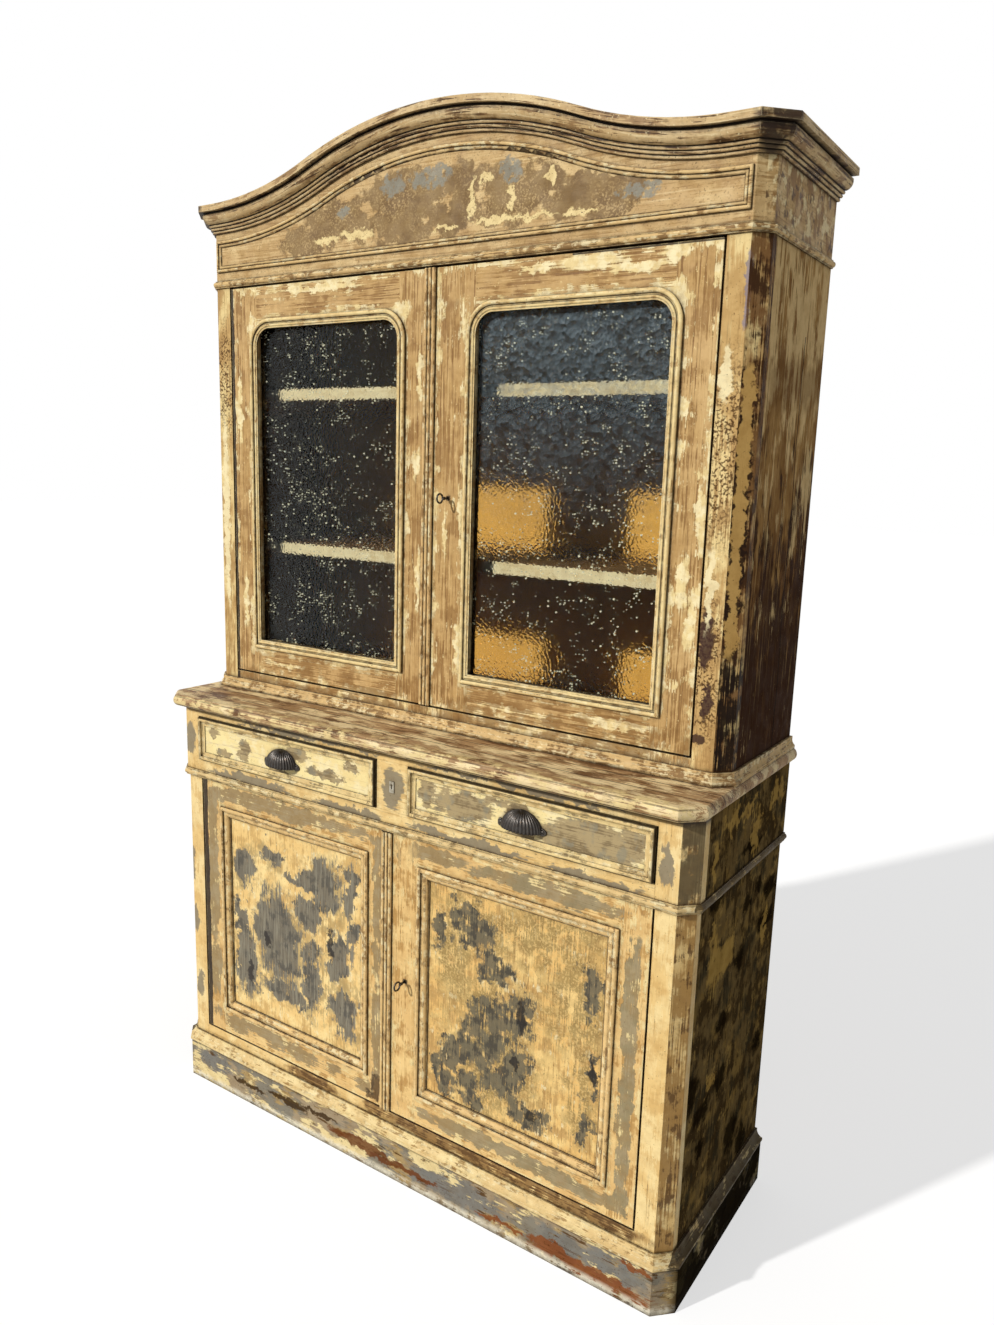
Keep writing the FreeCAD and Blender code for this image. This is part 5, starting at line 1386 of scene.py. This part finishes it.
class CUPBOARD_OT_keys(CupboardOperator, bpy.types.Operator):
    """Forges the ring-bow keys"""

    bl_idname = "cupboard.keys"
    bl_label = "Keys"

    def execute(self, context):
        sizes = context.scene.cupboard_keys
        for case in ("lower", "upper"):
            low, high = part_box(f"{case}_key")
            axis = Vector(((low.x + high.x) / 2, 0, (low.z + high.z) / 2))
            centre = Vector((axis.x, low.y + sizes.bow_radius + sizes.wire_radius, axis.z))
            shape = bmesh.new()
            wire = bmesh.ops.create_circle(shape, segments=16, radius=sizes.wire_radius)["verts"]
            bmesh.ops.translate(shape, verts=wire, vec=centre + Vector((0, sizes.bow_radius, 0)))
            bmesh.ops.spin(
                shape, geom=shape.verts[:] + shape.edges[:], cent=centre, axis=(1, 0, 0),
                angle=2 * math.pi, steps=48, use_merge=True,
            )
            # The stem's turned outline: radii as shares of the stem's, and places in mm behind the ring.
            back = centre.y + sizes.bow_radius - 0.5 * MM
            beads = (0, 0), (1.1, 0), (1.35, 1.2), (1, 2.2), (1, 4), (1.45, 5), (1.45, 6.5), (1, 7.5)
            outline = [(radius, back + along * MM) for radius, along in beads]
            outline += [(1, high.y), (0, high.y)]
            turned = [
                shape.verts.new((axis.x + radius * sizes.stem_radius, along, axis.z))
                for radius, along in outline
            ]
            edges = [shape.edges.new(pair) for pair in zip(turned, turned[1:])]
            bmesh.ops.spin(
                shape, geom=turned + edges, cent=axis, axis=(0, 1, 0), angle=2 * math.pi, steps=24,
                use_merge=True,
            )
            bmesh.ops.remove_doubles(shape, verts=shape.verts, dist=1e-6)
            place_piece(shape, f"{case}_ring_key", f"{case}_key", f"{case}_key")
        return {"FINISHED"}


class CUPBOARD_OT_stage(CupboardOperator, bpy.types.Operator):
    """Sets the pale floor, the light and the camera"""

    bl_idname = "cupboard.stage"
    bl_label = "Floor, light and camera"

    def execute(self, context):
        scene, stage = context.scene, context.scene.cupboard_stage
        self.lay_floor(stage)
        self.light(scene, stage)
        self.aim_camera(scene, stage)
        scene.view_settings.view_transform = "Standard"
        return {"FINISHED"}

    def seen(self, tree):
        """Where a ray that the camera follows, straight or through glass or gloss, meets floor or sky."""
        rays = add_node(tree, "LightPath").node.outputs
        seen = rays["Is Camera Ray"]
        for ray in ("Is Glossy Ray", "Is Transmission Ray"):
            seen = add_node(tree, "Math", {0: seen, 1: rays[ray]}, operation="MAXIMUM")
        return seen

    def lay_floor(self, stage):
        """White studio floor: the camera sees it lifted to white where it is lit, with the shadow kept."""
        shape = bmesh.new()
        bmesh.ops.create_grid(shape, x_segments=1, y_segments=1, size=stage.floor_size / 2)
        floor = add_object("floor", made_mesh(shape, "floor"))
        paper = bpy.data.materials.new("white_studio_floor")
        tree = empty_tree(paper)
        matt = add_node(tree, "BsdfDiffuse", {"Color": linear("#c8c8c8")})
        bounce = add_node(tree, "BsdfDiffuse", {"Color": linear("#cfcdc8")})
        glow = add_node(tree, "Emission", {"Color": linear("#ffffff"), "Strength": 0.62})
        white = add_node(tree, "AddShader", {0: matt, 1: glow})
        shader = add_node(tree, "MixShader", {0: self.seen(tree), 1: bounce, 2: white})
        add_node(tree, "OutputMaterial", {"Surface": shader})
        floor.data.materials.append(paper)

    def light(self, scene, stage):
        """A low sun, and even light that the camera sees as a white backdrop."""
        scene.world = bpy.data.worlds.new("white_studio")
        tree = empty_tree(scene.world)
        fill = {"Value": self.seen(tree), "To Min": stage.fill, "To Max": 1}
        level = add_node(tree, "MapRange", fill)
        glow = add_node(tree, "Background", {"Color": linear("#ffffff"), "Strength": level})
        add_node(tree, "OutputWorld", {"Surface": glow})
        lamp = bpy.data.lights.new("sun", "SUN")
        lamp.energy, lamp.angle, lamp.color = stage.sun_strength, stage.sun_angle, (1, 0.98, 0.95)
        sun = add_object("sun", lamp)
        sun.rotation_euler = Vector(stage.sun_way).to_track_quat("-Z", "Y").to_euler()
        sun.location = (-3, -5, 4)

    def aim_camera(self, scene, stage):
        """A camera where the photographer stood, turned by its yaw, pitch and roll."""
        yaw, pitch, roll = stage.turn
        ahead = Vector((-math.sin(yaw) * math.cos(pitch), math.cos(yaw) * math.cos(pitch), math.sin(pitch)))
        level = ahead.cross(Vector((0, 0, 1))).normalized()
        upright = level.cross(ahead)
        right = math.cos(roll) * level + math.sin(roll) * upright
        up = math.cos(roll) * upright - math.sin(roll) * level
        lens = bpy.data.cameras.new("camera")
        lens.sensor_width, lens.sensor_fit, lens.lens = 36, "AUTO", stage.lens
        lens.clip_start, lens.clip_end = 0.05, 200
        scene.camera = add_object("camera", lens)
        turn = Matrix((right, up, -ahead)).transposed().to_4x4()
        scene.camera.matrix_world = Matrix.Translation(Vector(stage.eye)) @ turn


STEPS = (
    CUPBOARD_OT_plinth, CUPBOARD_OT_lower_case, CUPBOARD_OT_counter, CUPBOARD_OT_drawers,
    CUPBOARD_OT_lower_doors, CUPBOARD_OT_upper_case, CUPBOARD_OT_glazed_doors, CUPBOARD_OT_crown,
    CUPBOARD_OT_ironwork, CUPBOARD_OT_pulls, CUPBOARD_OT_screws, CUPBOARD_OT_keys, CUPBOARD_OT_stage,
)
GROUPS = {
    "cupboard_colours": CupboardColours,
    "cupboard_pulls": CupboardPulls,
    "cupboard_keys": CupboardKeys,
    "cupboard_stage": CupboardStage,
}


class CUPBOARD_PT_panel(bpy.types.Panel):
    """Lists the steps that fit out the cupboard"""

    bl_idname = "CUPBOARD_PT_panel"
    bl_label = "Worn Glazed Cupboard"
    bl_space_type = "VIEW_3D"
    bl_region_type = "UI"
    bl_category = "Cupboard"

    def draw(self, context):
        for step in STEPS:
            self.layout.operator(step.bl_idname)
        for group in GROUPS:
            box = self.layout.box()
            for name in getattr(context.scene, group).__annotations__:
                box.prop(getattr(context.scene, group), name)


def register():
    for kind in (*GROUPS.values(), *STEPS, CUPBOARD_PT_panel):
        bpy.utils.register_class(kind)
    for name, group in GROUPS.items():
        setattr(bpy.types.Scene, name, PointerProperty(type=group))


def unregister():
    for name in GROUPS:
        delattr(bpy.types.Scene, name)
    for kind in reversed((*GROUPS.values(), *STEPS, CUPBOARD_PT_panel)):
        bpy.utils.unregister_class(kind)


def main():
    register()
    bpy.ops.cupboard.plinth()
    bpy.ops.cupboard.lower_case()
    bpy.ops.cupboard.counter()
    bpy.ops.cupboard.drawers()
    bpy.ops.cupboard.lower_doors()
    bpy.ops.cupboard.upper_case()
    bpy.ops.cupboard.glazed_doors()
    bpy.ops.cupboard.crown()
    bpy.ops.cupboard.ironwork()
    bpy.ops.cupboard.pulls()
    bpy.ops.cupboard.screws()
    bpy.ops.cupboard.keys()
    bpy.ops.cupboard.stage()


if __name__ == "__main__":
    main()
